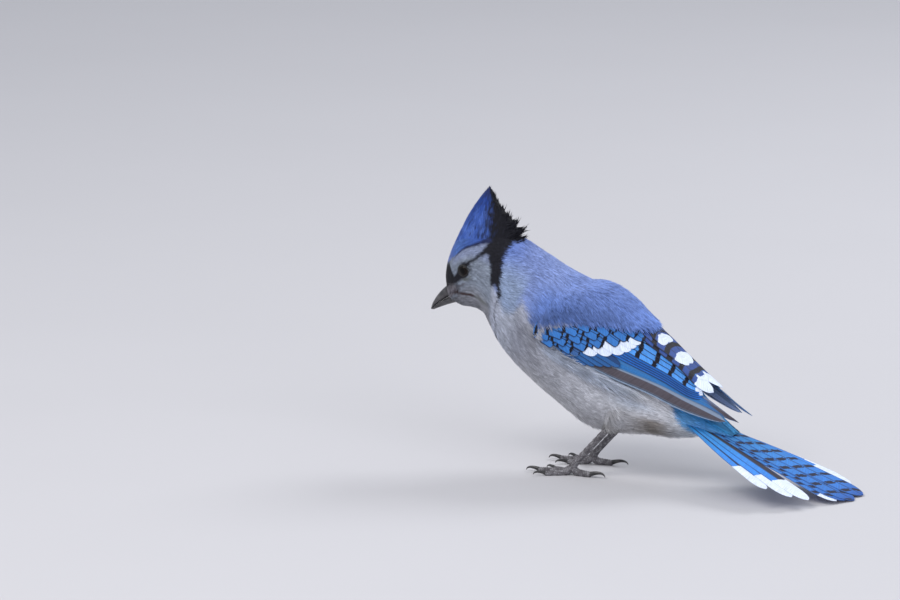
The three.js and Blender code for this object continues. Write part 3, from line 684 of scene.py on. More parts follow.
class Groups:
    """The shader groups that several finishes share, with the sizes of their marks."""

    barbs: NodeTree
    bars: NodeTree
    fineness: float = 2.4
    barb_slant: float = 3.2
    barb_width: float = 0.7
    barb_turn: float = 53.0
    shaft: Pair = (0.03, 0.08)
    bar_turn: float = 31.0
    stretch: float = 0.35
    wander: float = 2.2
    own_shift: float = 0.22
    edge: float = 0.05
    fade: float = 0.06
    ragged: float = 0.6
    gap_soft: float = 0.08
    tip_from: Pair = (-0.35, 0.15)
    bars_from: Pair = (-0.1, 0.2)
    least_period: float = 0.1
    barred_period: Pair = (0.5, 1.0)

    @classmethod
    def build(cls) -> None:
        """Makes each group once."""
        cls.barbs = cls.barb_group()
        cls.bars = cls.bar_group()

    @classmethod
    def barb_group(cls) -> NodeTree:
        """The barbs of a feather: fine slanting streaks on both sides of its shaft."""
        defaults = {"Along": 0.0, "Across": 0.0, "Random": 0.0, "Fineness": cls.fineness}
        tree, nodes, given, made = new_group("Barbs", defaults, ("Streaks", "Shaft"))
        along, across, random, fineness = given
        away = nodes.math("ABSOLUTE", across)
        place = nodes.combine(
            nodes.times(nodes.line(away, cls.barb_slant, along), fineness),
            nodes.times(across, cls.barb_width),
            nodes.times(random, cls.barb_turn),
        )
        nodes.set(made, Streaks=nodes.fine(place, 1.0), Shaft=nodes.ramp(away, *cls.shaft, 1.0, 0.0))
        return tree

    @classmethod
    def bar_group(cls) -> NodeTree:
        """The bars and pale tip of a flight feather."""
        labels = ("From Tip", "Across", "Random", "Period", "Share", "Pale Tip", "Lean", "Slant", "Gap")
        defaults = dict(zip(labels, (0.0, 0.0, 0.0, 6.0, 0.3, 0.0, 0.9, 0.0, -0.2)))
        tree, nodes, given, made = new_group("Bars and tip", defaults, ("Bars", "Tip"))
        along, across, random, period, share, pale_tip, lean, slant, gap = given
        away = nodes.math("ABSOLUTE", across)
        place = nodes.combine(nodes.times(along, cls.stretch), across, nodes.times(random, cls.bar_turn))
        wander = nodes.math("SUBTRACT", nodes.noise(place, cls.wander), 0.5)
        shifted = nodes.plus(nodes.line(wander, cls.wander, along), nodes.times(away, lean))
        from_pale = nodes.math("SUBTRACT", shifted, pale_tip)
        slanted = nodes.plus(from_pale, nodes.times(across, slant))
        turns = nodes.math("DIVIDE", slanted, nodes.math("MAXIMUM", period, cls.least_period))
        phase = nodes.math("FRACT", nodes.line(random, cls.own_shift, turns))
        low = nodes.ramp(phase, 0.0, cls.edge)
        high = nodes.ramp(phase, share, nodes.plus(share, cls.fade), 1.0, 0.0)
        ragged = nodes.line(wander, cls.ragged, away)
        clear = nodes.ramp(ragged, gap, nodes.plus(gap, cls.gap_soft))
        barred = nodes.times(nodes.times(low, high), clear)
        past = nodes.ramp(from_pale, *cls.bars_from)
        real = nodes.ramp(period, *cls.barred_period)
        bars = nodes.times(nodes.times(barred, past), real)
        nodes.set(made, Bars=bars, Tip=nodes.ramp(from_pale, *cls.tip_from, 1.0, 0.0))
        return tree


def new_material(name: str) -> tuple[Material, Nodes, Node]:
    """An empty material with its surface shader.

    Args:
        name: The material's name.

    Returns:
        The material, its node adder and its Principled shader.
    """
    material = bpy.data.materials.new(name)
    material.use_nodes = True
    material.node_tree.nodes.clear()
    nodes = Nodes(material.node_tree)
    surface = nodes.add("ShaderNodeBsdfPrincipled")
    nodes.add("ShaderNodeOutputMaterial", Surface=surface.outputs[0])
    return material, nodes, surface


@dataclass(frozen=True)
class CoatFinish:
    """Small body feathers, coloured by what is stored at their roots."""

    name: str = "body_feather"
    roughness: float = 0.72
    specular: float = 0.2
    sheen: float = 0.12
    sheen_roughness: float = 0.5
    root_dark: float = 0.86
    tip_light: float = 1.09
    tip_from: float = 0.9
    scatter: float = 0.42
    streaks: float = 0.5
    streak_size: Pair = (0.13, 1.15)
    contrast: Pair = (0.3, 0.7)

    def make(self) -> Material:
        """The material, which reads tint, shade, flow and leaf."""
        material, nodes, surface = new_material(self.name)
        along = nodes.split("leaf")[1]
        length_wise = nodes.ramp(along, 0.0, self.tip_from, self.root_dark, self.tip_light)
        scattered = nodes.line(nodes.attribute("shade", "Fac"), self.scatter, 1.0 - self.scatter / 2)
        flow = nodes.vector("MULTIPLY", nodes.attribute("flow"), (*self.streak_size, 1.0))
        levels = (1 - self.streaks / 2, 1 + self.streaks / 2)
        streak = nodes.ramp(nodes.fine(flow, 1.0), *self.contrast, *levels)
        level = nodes.times(nodes.times(length_wise, scattered), streak)
        nodes.set(
            surface,
            Base_Color=nodes.scaled(nodes.attribute("tint", "Color"), level),
            Roughness=self.roughness,
            Specular_IOR_Level=self.specular,
            Sheen_Weight=self.sheen,
            Sheen_Roughness=self.sheen_roughness,
        )
        return material


@dataclass(frozen=True)
class SkinFinish:
    """Down-covered skin under the coat, in the coat's own colours."""

    name: str = "skin_down"
    darken: float = 0.62
    roughness: float = 0.9
    scale: float = 1400.0
    contrast: float = 0.5
    relief: Pair = (0.5, 0.0006)

    def make(self) -> Material:
        """The material, which reads tint and draws down as bump."""
        material, nodes, surface = new_material(self.name)
        fine = nodes.fine(nodes.place(), self.scale)
        level = nodes.line(fine, self.contrast, self.darken - self.contrast / 2)
        colour = nodes.scaled(nodes.attribute("tint", "Color"), level)
        normal = nodes.bump(fine, *self.relief)
        nodes.set(surface, Base_Color=colour, Roughness=self.roughness, Normal=normal)
        return material


@dataclass(frozen=True)
class VaneFinish:
    """Large feathers, each with its own web colours, bars, rim and tip."""

    name: str
    dark: Colour = (0.007, 0.007, 0.014)
    pale: Colour = (0.70, 0.77, 0.92)
    roughness: float = 0.5
    lean: float = 0.9
    gap: float = -0.2
    inner_from: float = 0.12
    streak_range: Pair = (0.25, 0.75)
    streak_levels: Pair = (0.78, 1.2)
    own_level: Pair = (0.16, 0.92)
    shaft: float = 0.75
    rim_range: Pair = (0.84, 0.93)
    rim: float = 0.85
    rough_range: Pair = (0.2, 0.8)
    rougher: float = 0.15
    specular: float = 0.16
    sheen: float = 0.03
    shaft_relief: float = 0.8
    relief: Pair = (0.35, 0.0002)

    def make(self) -> Material:
        """The material, which reads vane, marks, slant, web_outer, web_inner and rim."""
        material, nodes, surface = new_material(self.name)
        from_tip, across, random = nodes.split("vane")
        pale_tip, period, share = nodes.split("marks")
        bars = nodes.add("ShaderNodeGroup", {"node_tree": Groups.bars})
        slant = nodes.attribute("slant", "Fac")
        nodes.fed(bars, from_tip, across, random, period, share, pale_tip, self.lean, slant, self.gap)
        barbs = nodes.add("ShaderNodeGroup", {"node_tree": Groups.barbs})
        streaks, shaft = nodes.fed(barbs, from_tip, across, random).outputs
        inner = nodes.ramp(across, 0.0, self.inner_from)
        web = nodes.mix(inner, nodes.attribute("web_outer", "Color"), nodes.attribute("web_inner", "Color"))
        level = nodes.ramp(streaks, *self.streak_range, *self.streak_levels)
        own = nodes.line(nodes.math("FRACT", random), *self.own_level)
        web = nodes.scaled(web, nodes.times(level, own))
        colour = nodes.mix(bars.outputs["Bars"], web, self.dark)
        colour = nodes.mix(nodes.times(shaft, self.shaft), colour, self.dark)
        colour = nodes.mix(bars.outputs["Tip"], colour, nodes.scaled(self.pale, level))
        rim = nodes.ramp(nodes.math("ABSOLUTE", across), *self.rim_range, 0.0, self.rim)
        rim = nodes.times(rim, nodes.math("SUBTRACT", 1.0, bars.outputs["Tip"]))
        nodes.set(
            surface,
            Base_Color=nodes.mix(rim, colour, nodes.attribute("rim", "Color")),
            Roughness=nodes.ramp(streaks, *self.rough_range, self.roughness, self.roughness + self.rougher),
            Specular_IOR_Level=self.specular,
            Sheen_Weight=self.sheen,
            Normal=nodes.bump(nodes.line(shaft, self.shaft_relief, streaks), *self.relief),
        )
        return material


@dataclass(frozen=True)
class HornFinish:
    """Smooth worn horn, as on the bill and claws."""

    name: str
    base: Colour
    worn: Colour
    roughness: float = 0.38
    rougher: float = 0.22
    grain: float = 900.0
    stretch: Triple = (0.35, 1.0, 1.0)
    patch_size: float = 0.28
    worn_range: Pair = (0.42, 0.72)
    worn_most: float = 0.8
    rough_range: Pair = (0.3, 0.7)
    coat: float = 0.15
    coat_roughness: float = 0.3
    relief: Pair = (0.3, 0.00015)

    def make(self) -> Material:
        """The material, with faint growth lines and worn patches."""
        material, nodes, surface = new_material(self.name)
        place = nodes.place()
        lines = nodes.fine(nodes.vector("MULTIPLY", place, self.stretch), self.grain)
        patches = nodes.noise(place, self.grain * self.patch_size)
        worn = nodes.ramp(patches, *self.worn_range, 0.0, self.worn_most)
        nodes.set(
            surface,
            Base_Color=nodes.mix(worn, self.base, self.worn),
            Roughness=nodes.ramp(lines, *self.rough_range, self.roughness, self.roughness + self.rougher),
            Coat_Weight=self.coat,
            Coat_Roughness=self.coat_roughness,
            Normal=nodes.bump(lines, *self.relief),
        )
        return material


@dataclass(frozen=True)
class ScaleFinish:
    """Dry dark scales of the legs, darker along the cells' edges, with pale patches that are painted
    highlights.
    """

    name: str = "leg_scale"
    base: Colour = (0.055, 0.048, 0.056)
    # The pale colour is painted highlight on the scales.
    pale: Colour = (0.34, 0.33, 0.35)
    cell_scale: float = 950.0
    edge_width: float = 0.16
    edge_dark: float = 0.8
    dust_scale: float = 420.0
    dust_range: Pair = (0.34, 0.68)
    dust_levels: Pair = (0.12, 0.85)
    roughness: float = 0.62
    relief: Pair = (0.6, 0.0003)

    def make(self) -> Material:
        """The material, with small cells and a dry rough surface."""
        material, nodes, surface = new_material(self.name)
        place = nodes.place()
        settings = {"feature": "DISTANCE_TO_EDGE"}
        scales = nodes.add("ShaderNodeTexVoronoi", settings, Vector=place, Scale=self.cell_scale)
        edge = nodes.ramp(scales.outputs["Distance"], 0.0, self.edge_width, 1.0, 0.0)
        bump_and_highlight_speckle = nodes.fine(place, self.dust_scale)
        # The pale share is painted highlight in patches, kept off the cells' darker edges; the same noise
        # also gives the bump.
        worn = nodes.ramp(bump_and_highlight_speckle, *self.dust_range, *self.dust_levels)
        share = nodes.times(worn, nodes.line(edge, -self.edge_dark, 1.0))
        nodes.set(
            surface,
            Base_Color=nodes.mix(share, self.base, self.pale),
            Roughness=self.roughness,
            Normal=nodes.bump(nodes.math("SUBTRACT", bump_and_highlight_speckle, edge), *self.relief),
        )
        return material


@dataclass(frozen=True)
class EyeFinish:
    """A wet dark eye: a black pupil in a brown iris."""

    name: str = "eye_wet"
    pupil: Colour = (0.002, 0.002, 0.002)
    iris: Colour = (0.005, 0.0034, 0.003)
    fibre: Colour = (0.016, 0.010, 0.007)
    fibre_scale: float = 2600.0
    fibre_range: Pair = (0.3, 0.7)
    fibre_most: float = 0.5
    pupil_edge: Pair = (0.5, 0.56)
    roughness: float = 0.3
    specular: float = 0.05
    coat: float = 0.3
    coat_index: float = 1.34
    coat_roughness: float = 0.02

    def make(self) -> Material:
        """The material, which reads how far out from the pupil's middle a place is."""
        material, nodes, surface = new_material(self.name)
        fibres = nodes.noise(nodes.place(), self.fibre_scale)
        iris = nodes.mix(nodes.ramp(fibres, *self.fibre_range, 0.0, self.fibre_most), self.iris, self.fibre)
        outside = nodes.ramp(nodes.attribute("out", "Fac"), *self.pupil_edge)
        nodes.set(
            surface,
            Base_Color=nodes.mix(outside, self.pupil, iris),
            Roughness=self.roughness,
            Specular_IOR_Level=self.specular,
            Coat_Weight=self.coat,
            Coat_IOR=self.coat_index,
            Coat_Roughness=self.coat_roughness,
        )
        return material


@dataclass(frozen=True)
class FloorFinish:
    """A plain pale floor."""

    name: str = "floor_pale"
    colour: Colour = (0.56, 0.55, 0.57)
    darker: float = 0.97
    patch_scale: float = 6.0
    roughness: float = 0.9

    def make(self) -> Material:
        """The material."""
        material, nodes, surface = new_material(self.name)
        dark = tuple(self.darker * v for v in self.colour)
        colour = nodes.mix(nodes.noise(nodes.place(), self.patch_scale), self.colour, dark)
        nodes.set(surface, Base_Color=colour, Roughness=self.roughness)
        return material


# Colours of the coat


def toward(colour: Array, other: Array | Colour, share: Array) -> Array:
    """Colours moved towards another one, each by its own share."""
    return lerp(colour, np.array(other), share[..., None])


def hump(value: Array, middle: float, spread: float) -> Array:
    """A soft hump, 1 at its middle."""
    return np.exp(-(((value - middle) / spread) ** 2))


def span(value: Array, begins: float, whole: float, fades: float = FAR, over: float = 2 * FAR) -> Array:
    """How far values lie in a stretch with soft ends, from 0 to 1."""
    return rise(begins, whole, value) * (1 - rise(fades, over, value))


@dataclass(frozen=True)
class Zone:
    """A soft-edged part of the body, as a stretch or a hump in ribs and a stretch or a hump in degrees."""

    ribs: tuple[float, ...]
    degrees: tuple[float, ...]
    hump_ribs: bool = False
    hump_degrees: bool = False

    def cover(self, u: Array, angle: Array) -> Array:
        """How far places lie in the zone, from 0 to 1."""
        along = (hump if self.hump_ribs else span)(u, *self.ribs)
        return along * (hump if self.hump_degrees else span)(angle, *self.degrees)


@dataclass(frozen=True)
class Patch:
    """A zone with a colour of its own."""

    colour: Colour
    strength: float
    zone: Zone

    def over(self, colour: Array, u: Array, angle: Array) -> Array:
        """Colours with the patch laid over them."""
        return toward(colour, self.colour, self.strength * self.zone.cover(u, angle))


@dataclass(frozen=True)
class Streak:
    """A line on the body: its path as (rib, degrees from the back), its half widths and its colour."""

    path: tuple[Pair, ...]
    half: tuple[float, ...]
    colour: Colour
    soft: float = 0.4

    def mask(self, points: Array) -> Array:
        """How much the line covers each point, on both sides of the bird."""
        table = np.array(self.path)
        line = BODY_SURFACE.at(table[:, 0], np.radians(table[:, 1]))
        folded = points * [1, 0, 1] - np.abs(points) * [0, 1, 0]
        best = np.zeros(len(points))
        for a, b, wa, wb in zip(line[:-1], line[1:], self.half[:-1], self.half[1:]):
            t = np.clip((folded - a) @ (b - a) / ((b - a) @ (b - a)), 0, 1)
            away = np.linalg.norm(folded - (a + t[:, None] * (b - a)), axis=1)
            half = lerp(wa, wb, t)
            best = np.maximum(best, rise(half + self.soft, half - self.soft, away))
        return best


def along_table(table: Sequence[tuple[float, Colour]], at: Array) -> Array:
    """The colour at places on straight lines through (place, colour) pairs."""
    places = [place for place, _ in table]
    return np.stack([np.interp(at, places, [colour[k] for _, colour in table]) for k in range(3)], -1)


class Plumage:
    """The small feathers' colours, lie and size over the body, by rib and by degrees from the back."""

    black: Colour = (0.008, 0.008, 0.014)
    navy: Colour = (0.014, 0.022, 0.08)
    gape: Colour = (0.05, 0.03, 0.032)
    eye_corner: Colour = (0.15, 0.17, 0.18)
    # The jaw colour is a painted shadow line beneath the cheek feathers.
    jaw: Colour = (0.15, 0.16, 0.17)
    bill_edge: Colour = (0.09, 0.08, 0.10)
    cheek: Colour = (0.23, 0.265, 0.335)
    throat: Colour = (0.23, 0.235, 0.27)
    brow: Colour = (0.24, 0.28, 0.42)
    forehead: Colour = (0.22, 0.27, 0.55)
    bristle: Colour = (0.20, 0.19, 0.22)
    bristle_gap: Colour = (0.04, 0.035, 0.045)
    back = (
        (2.0, (0.11, 0.18, 0.53)),
        (3.2, (0.074, 0.158, 0.455)),
        (4.6, (0.035, 0.085, 0.36)),
        (5.9, (0.14, 0.22, 0.57)),
        (6.8, (0.19, 0.255, 0.53)),
        (8.0, (0.21, 0.28, 0.56)),
        (9.5, (0.155, 0.235, 0.55)),
        (11.5, (0.13, 0.23, 0.60)),
        (13.0, (0.09, 0.22, 0.56)),
        (14.4, (0.04, 0.23, 0.50)),
        (17.0, (0.03, 0.22, 0.47)),
    )
    scapulars = Patch((0.095, 0.175, 0.48), 0.8, Zone((7.3, 8.4, 11.5, 12.8), (26, 62)))
    rump_side = Patch((0.14, 0.36, 0.68), 0.85, Zone((13.6, 14.6), (58, 100)))
    neck_side = Patch((0.28, 0.355, 0.51), 0.9, Zone((5.7, 6.0, 7.05, 7.5), (30, 72)))
    under = (
        (4.0, (0.24, 0.255, 0.31)),
        (5.2, (0.30, 0.325, 0.41)),
        (6.0, (0.43, 0.46, 0.57)),
        (6.8, (0.40, 0.43, 0.52)),
        (7.8, (0.32, 0.335, 0.41)),
        (8.6, (0.33, 0.34, 0.40)),
        (10.5, (0.56, 0.57, 0.63)),
        (12.4, (0.74, 0.74, 0.78)),
        (13.6, (0.66, 0.66, 0.70)),
        (15.0, (0.66, 0.72, 0.80)),
        (17.0, (0.64, 0.72, 0.84)),
    )
    belly = Patch((0.66, 0.66, 0.69), 0.7, Zone((6.5, 9, 12.4, 13.6), (112, 165)))
    vent = Patch((0.24, 0.20, 0.16), 0.8, Zone((13.3, 0.7), (108, 122, 150, 172), True))
    rear_flank = Patch((0.50, 0.58, 0.72), 0.6, Zone((12.3, 0.8), (96, 10), True, True))
    flecks = Patch((0.12, 0.13, 0.16), 0.6, Zone((7.1, 0.45), (90, 7), True, True))
    wing_fringe: Colour = (0.58, 0.67, 0.86)
    fringe_strength: float = 0.6
    # Painted shade on the breast just below the wing's bend, where the wing overhangs it.
    wing_bend = Zone((8.0, 0.8), (99, 12), True, True)
    bend_dark: float = 0.34
    streaky: float = 0.08
    streaks_below: Pair = (80, 100)
    blue_edge = (
        *((5.4, 84), (6.0, 90), (6.6, 100), (7.1, 92), (7.4, 74), (7.8, 77), (8.2, 80)),
        *((8.8, 76), (9.3, 66), (12, 58), (13.5, 60), (14.5, 112), (15.3, 138), (17, 142)),
    )
    blue_soft = ((5.4, 5), (6.6, 9), (7.4, 6), (8.4, 6), (9.5, 6), (17, 12))
    arm_height: float = 2.3
    arm_end = (
        *((-0.6, 2.5), (-0.1, 2.3), (0.02, 1.8), (0.45, 1.78), (0.5, 1.95)),
        *((0.55, 2.3), (0.66, 3.05), (0.76, 3.5), (0.89, 4.1), (1.2, 4.5)),
    )
    nasal_edge = ((0, 0.25), (40, 0.4), (63, 0.65), (84, 1.45), (95, 1.9), (103, 2.3))
    nasal_end: Pair = (104, 112)
    black_front = ((0, 1.5), (43, 1.98), (62, 2.2), (75, 2.3), (87, 2.35), (94, 2.4))
    eye_rim: float = 3.7
    crown_edge = (
        *((1.6, 30), (2.3, 46), (2.93, 56), (3.15, 55), (3.62, 53)),
        *((4.15, 50), (4.42, 46.5), (4.88, 36), (5.2, 30)),
    )
    collar_front = (
        *((0, 4.35), (11, 4.5), (36, 4.86), (47, 4.88), (54, 4.86)),
        *((60, 5.0), (66, 5.15), (76, 5.28), (90, 5.38)),
    )
    collar_rear = ((0, 6.17), (11.5, 5.97), (40, 5.82), (53, 5.8), (65, 5.93), (78, 6.0), (90, 6.0))
    collar_foot: Triple = (91, 19, 5.38)
    streaks = (
        Streak(
            ((2.9, 57), (3.15, 55.5), (3.62, 53), (4.15, 50), (4.42, 46.5), (4.9, 36)),
            (0.2, 0.45, 0.6, 0.8, 1.1, 1.8),
            navy,
            0.35,
        ),
        Streak(
            ((3.05, 82), (3.2, 78.6), (3.42, 76.6), (3.68, 76.6), (3.9, 78.5)),
            (0.6, 0.6, 0.6, 0.7, 0.7),
            black,
            0.35,
        ),
        Streak(
            ((3.72, 79), (3.88, 77), (4.3, 70.5), (4.62, 62), (4.83, 54.5), (5.0, 48)),
            (0.7, 0.8, 0.85, 1.1, 1.7, 2.8),
            black,
        ),
        Streak(
            ((2.15, 42), (2.1, 52), (2.12, 62), (2.06, 73), (2.1, 84), (2.25, 92)),
            (0.3, 0.8, 1.0, 1.1, 1.4, 1.8),
            black,
            0.5,
        ),
        Streak(((2.2, 91), (2.62, 92.5), (3.0, 94), (3.3, 98)), (1.7, 2.2, 1.9, 0.9), black, 0.5),
        Streak(((2.62, 92), (3.0, 87)), (1.8, 1.3), black),
        Streak(((3.1, 99.5), (3.45, 100), (3.8, 97)), (0.6, 1.0, 0.7), eye_corner, 0.6),
        Streak(((1.25, 99.5), (2.43, 105.5), (3.4, 104.5)), (0.5, 0.5, 0.2), bill_edge),
        Streak(
            ((1.5, 106), (1.8, 110), (2.45, 120), (3.55, 124), (3.9, 124.5)),
            (0.75, 0.9, 0.95, 0.8, 0.5),
            gape,
            0.3,
        ),
        # Painted shadow line beneath the cheek feathers, from the gape back along the jaw.
        Streak(((3.9, 124.5), (4.62, 121), (5.1, 118)), (0.9, 1.5, 0.8), jaw, 0.9),
        Streak(
            (
                *((5.85, 78), (5.93, 83), (6.1, 88.5), (6.05, 97.5), (5.98, 105.5)),
                *((6.0, 118), (6.2, 124), (6.1, 150), (6.0, 180)),
            ),
            (1.2, 1.2, 1.4, 0.5, 0.4, 0.4, 0.35, 0.8, 1.0),
            black,
        ),
    )
    lengths = (
        *((0, 1.6), (1, 1.7), (2, 2.0), (3.5, 2.6), (5, 3.6), (6, 4.6)),
        *((8, 5.4), (11, 6.2), (14, 5.8), (15.4, 4.2), (17, 3.4)),
    )
    widths = ((0, 0.24), (2, 0.27), (4, 0.32), (6, 0.40), (8, 0.46), (12, 0.52), (17, 0.7))
    lifts = ((0, 7), (2, 7), (5, 8), (8, 7.5), (12, 9), (14, 8), (17, 4))
    crowding = (
        *((0, 11), (2, 10.5), (4, 9.0), (5.4, 7.0), (6.5, 5.6)),
        *((8.5, 4.6), (12, 4.2), (15, 3.4), (17, 3)),
    )
    crowding_level: float = 0.97
    low_belly = Zone((8, 11, 13.5, 15.5), (125, 165))
    loose_throat = Zone((6.5, 8), (95, 110))
    nape = Zone((6.4, 1.1), (10, 40, 90, 115), True)
    mantle = Zone((7.4, 8.6, 12, 13), (8, 30, 70, 92))
    flank = Zone((8, 10), (92, 110, 150, 175))
    face_lie = ((0, 0), (50, -8), (72, -20), (95, -8), (120, 10), (150, 12), (180, 0))
    nasal_turn: float = 172

    def under_colour(self, u: Array, angle: Array, points: Array) -> Array:
        """The grey and white colours of the underside, with the darker breast, painted shade below the
        wing's bend and the brown vent.
        """
        colour = self.belly.over(along_table(self.under, u), u, angle)
        streaky = ripple(points * [1, 1, 2.2], 7.0, 9)
        level = 1 + self.streaky * streaky * rise(*self.streaks_below, angle)
        # Darkens the zone below the wing's bend as painted shade.
        level = level * (1 - self.bend_dark * self.wing_bend.cover(u, angle) * (0.6 + 0.4 * streaky))
        colour = colour * level[:, None]
        marks = rise(0.1, 0.7, ripple(points * [1, 1, 3], 3.2, 17))
        flecks = self.flecks.strength * self.flecks.zone.cover(u, angle) * marks
        colour = self.vent.over(toward(colour, self.flecks.colour, flecks), u, angle)
        fringe = self.fringe_strength * self.wing_edge(u, angle)
        return self.rear_flank.over(toward(colour, self.wing_fringe, fringe), u, angle)

    def back_colour(self, u: Array, angle: Array) -> Array:
        """The blue colours of the upper side, paler on the sides of the neck."""
        colour = along_table(self.back, u)
        for patch in (self.scapulars, self.rump_side, self.neck_side):
            colour = patch.over(colour, u, angle)
        return colour

    def head_colour(self, u: Array, angle: Array, points: Array, back: Array, ragged: Array) -> Array:
        """The colours of the crown, brow, cheeks and throat."""
        side = toward(np.array(self.cheek), self.throat, rise(100, 126, angle))
        broad, fine = ripple(points * [1, 1, 1.8], 5.0, 21), ripple(points * [0.5, 2.0, 1.6], 1.7, 22)
        side = side * (1 + (0.10 * broad + 0.24 * fine))[:, None]
        side = toward(side, self.brow, rise(2.3, 3.0, u) * (1 - rise(62, 74, angle)))
        crown = rise(1.2, -1.2, angle - through(self.crown_edge, u) + 2 * ragged)
        head_back = toward(back, self.forehead, (1 - rise(1.7, 2.9, u)) * 0.75)
        colour = toward(side, head_back, crown)
        front = rise(0.1, -0.1, u + 0.05 * ragged - through(self.black_front, angle)) * rise(97, 92, angle)
        front = np.maximum(front, rise(0.6, -0.4, self.from_eye(points) - self.eye_rim))
        lines = rise(-0.1, 0.5, ripple(points * [0.5, 2.2, 1.6], 3.0, 33))
        bristles = toward(np.array(self.bristle), self.bristle_gap, 0.85 * lines)
        return toward(toward(colour, self.black, front), bristles, self.nasal(u, angle))

    def tint(self, u: Array, angle: Array, points: Array) -> Array:
        """The coat's colour.

        Args:
            u: Places along the body, in ribs.
            angle: Angles from the back, in degrees, from 0 to 180 on both sides.
            points: The places themselves, in millimetres.

        Returns:
            A colour with alpha for each place.
        """
        ragged = ripple(points, 2.6, 5) * 0.5 + ripple(points, 1.1, 6) * 0.5
        back = self.back_colour(u, angle)
        edge, soft = through(self.blue_edge, u), through(self.blue_soft, u)
        blue = rise(edge + soft, edge - soft, angle + 3 * ragged)
        share = self.wing_share(u, angle)
        over_arm = rise(0.25, 0.5, self.arm(u, angle)) * rise(0.3, 0.5, share)
        back = back * (1 - 0.3 * over_arm * rise(1.25, 0.8, share))[:, None]
        colour = toward(self.under_colour(u, angle, points), back, np.maximum(blue, over_arm))
        face = 1 - rise(5.3, 5.7, u + 0.1 * ragged)
        colour = toward(colour, self.head_colour(u, angle, points, back, ragged), face)
        colour = toward(colour, self.black, self.collar(u, angle, ragged))
        wavy = points + 0.18 * ragged[:, None]
        for streak in self.streaks:
            colour = toward(colour, streak.colour, streak.mask(wavy))
        return np.concatenate([np.clip(colour, 0, 1), np.ones((len(u), 1))], 1)

    def collar(self, u: Array, angle: Array, ragged: Array) -> Array:
        """How far places lie in the black collar behind the head, which narrows to its foot."""
        degrees, slope, rib = self.collar_foot
        jagged = u + 0.07 * ragged
        front = rise(-0.06, 0.06, jagged - through(self.collar_front, angle))
        rear = rise(0.07, -0.07, jagged - through(self.collar_rear, angle))
        return front * rear * rise(1.5, -1.5, angle - degrees + slope * (u - rib) + 2 * ragged)

    @staticmethod
    def from_eye(points: Array) -> Array:
        """How far places are from the eye's middle, seen from the side."""
        return np.hypot(points[:, 0] - Eyes.x, points[:, 2] - Eyes.z)

    def nasal(self, u: Array, angle: Array) -> Array:
        """How far a place belongs to the bristles that lie over the bill's root."""
        edge = through(self.nasal_edge, angle)
        return rise(0.15, -0.15, u - edge) * (1 - rise(*self.nasal_end, angle))

    def wing_edge(self, u: Array, angle: Array) -> Array:
        """How near a place is to the wing's lower edge, just below it, where the flank lies over it."""
        below = angle - through(WING_LOWER, u - WING_FIRST_RIB)
        return hump(below, 6, 7) * span(u, 8.5, 9.2, 11.6, 12.8)

    def arm(self, u: Array, angle: Array) -> Array:
        """How much of the folded arm lies under a place, which lifts the skin to the wing's height."""
        wing_u = u - WING_FIRST_RIB
        share = self.wing_share(u, angle)
        end = through(self.arm_end, share)
        fall = lerp(1.5, 0.14, rise(-0.2, 0.0, share))
        front, rear = rise(0.2, 2.2, wing_u), rise(end, end - fall, wing_u)
        return front * rear * rise(-0.5, 0.05, share) * rise(3.0, 0.6, share)

    @staticmethod
    def wing_share(u: Array, angle: Array) -> Array:
        """How far a place lies from the wing's lower edge, 0, to its upper edge, 1."""
        wing_u = u - WING_FIRST_RIB
        low, high = through(WING_LOWER, wing_u), through(WING_UPPER, wing_u)
        return (low - angle) / (low - high)

    def sizes(self, u: Array, angle: Array) -> dict[str, Array]:
        """Each place's tuft length and width in metres, lift in radians, crowding and looseness."""
        arm, over, nasal = self.arm(u, angle), self.wing_edge(u, angle), self.nasal(u, angle)
        low = self.low_belly.cover(u, angle)
        edge = 4 * arm * (1 - arm)
        length = through(self.lengths, u) * (1 + 0.35 * low + 1.25 * over + nasal + 0.25 * edge)
        lift = through(self.lifts, u) + 9 * low + 14 * over + nasal
        wing_u = u - WING_FIRST_RIB
        hidden = rise(1.9, 2.4, wing_u) * rise(-2, -8, angle - through(WING_LOWER, wing_u))
        hidden = hidden * rise(2, 8, angle - through(WING_UPPER, wing_u))
        crowding = through(self.crowding, u) * (1 - hidden * rise(0.7, 0.3, arm)) * (1 - rise(16.3, 16.8, u))
        loose = 1 + 1.6 * low + 1.2 * over + 1.2 * edge + 0.5 * self.loose_throat.cover(u, angle)
        return {
            "reach": length * MM,
            "breadth": through(self.widths, u) * (1 - 0.45 * over) * MM,
            "lift": np.radians(lift),
            "thick": self.crowding_level * crowding * (1 + 0.8 * over),
            "loose": loose,
        }

    def lie(self, u: Array, angle: Array) -> Array:
        """How far the feathers' lie turns down from straight along the body, in degrees."""
        turn = -24 * self.nape.cover(u, angle) + 24 * self.mantle.cover(u, angle)
        turn = turn - 12 * self.flank.cover(u, angle) - 16 * self.wing_edge(u, angle)
        face = through(self.face_lie, angle) * (1 - rise(4.8, 5.8, u))
        return turn + face + self.nasal_turn * self.nasal(u, angle)


PLUMAGE = Plumage()


# The skin


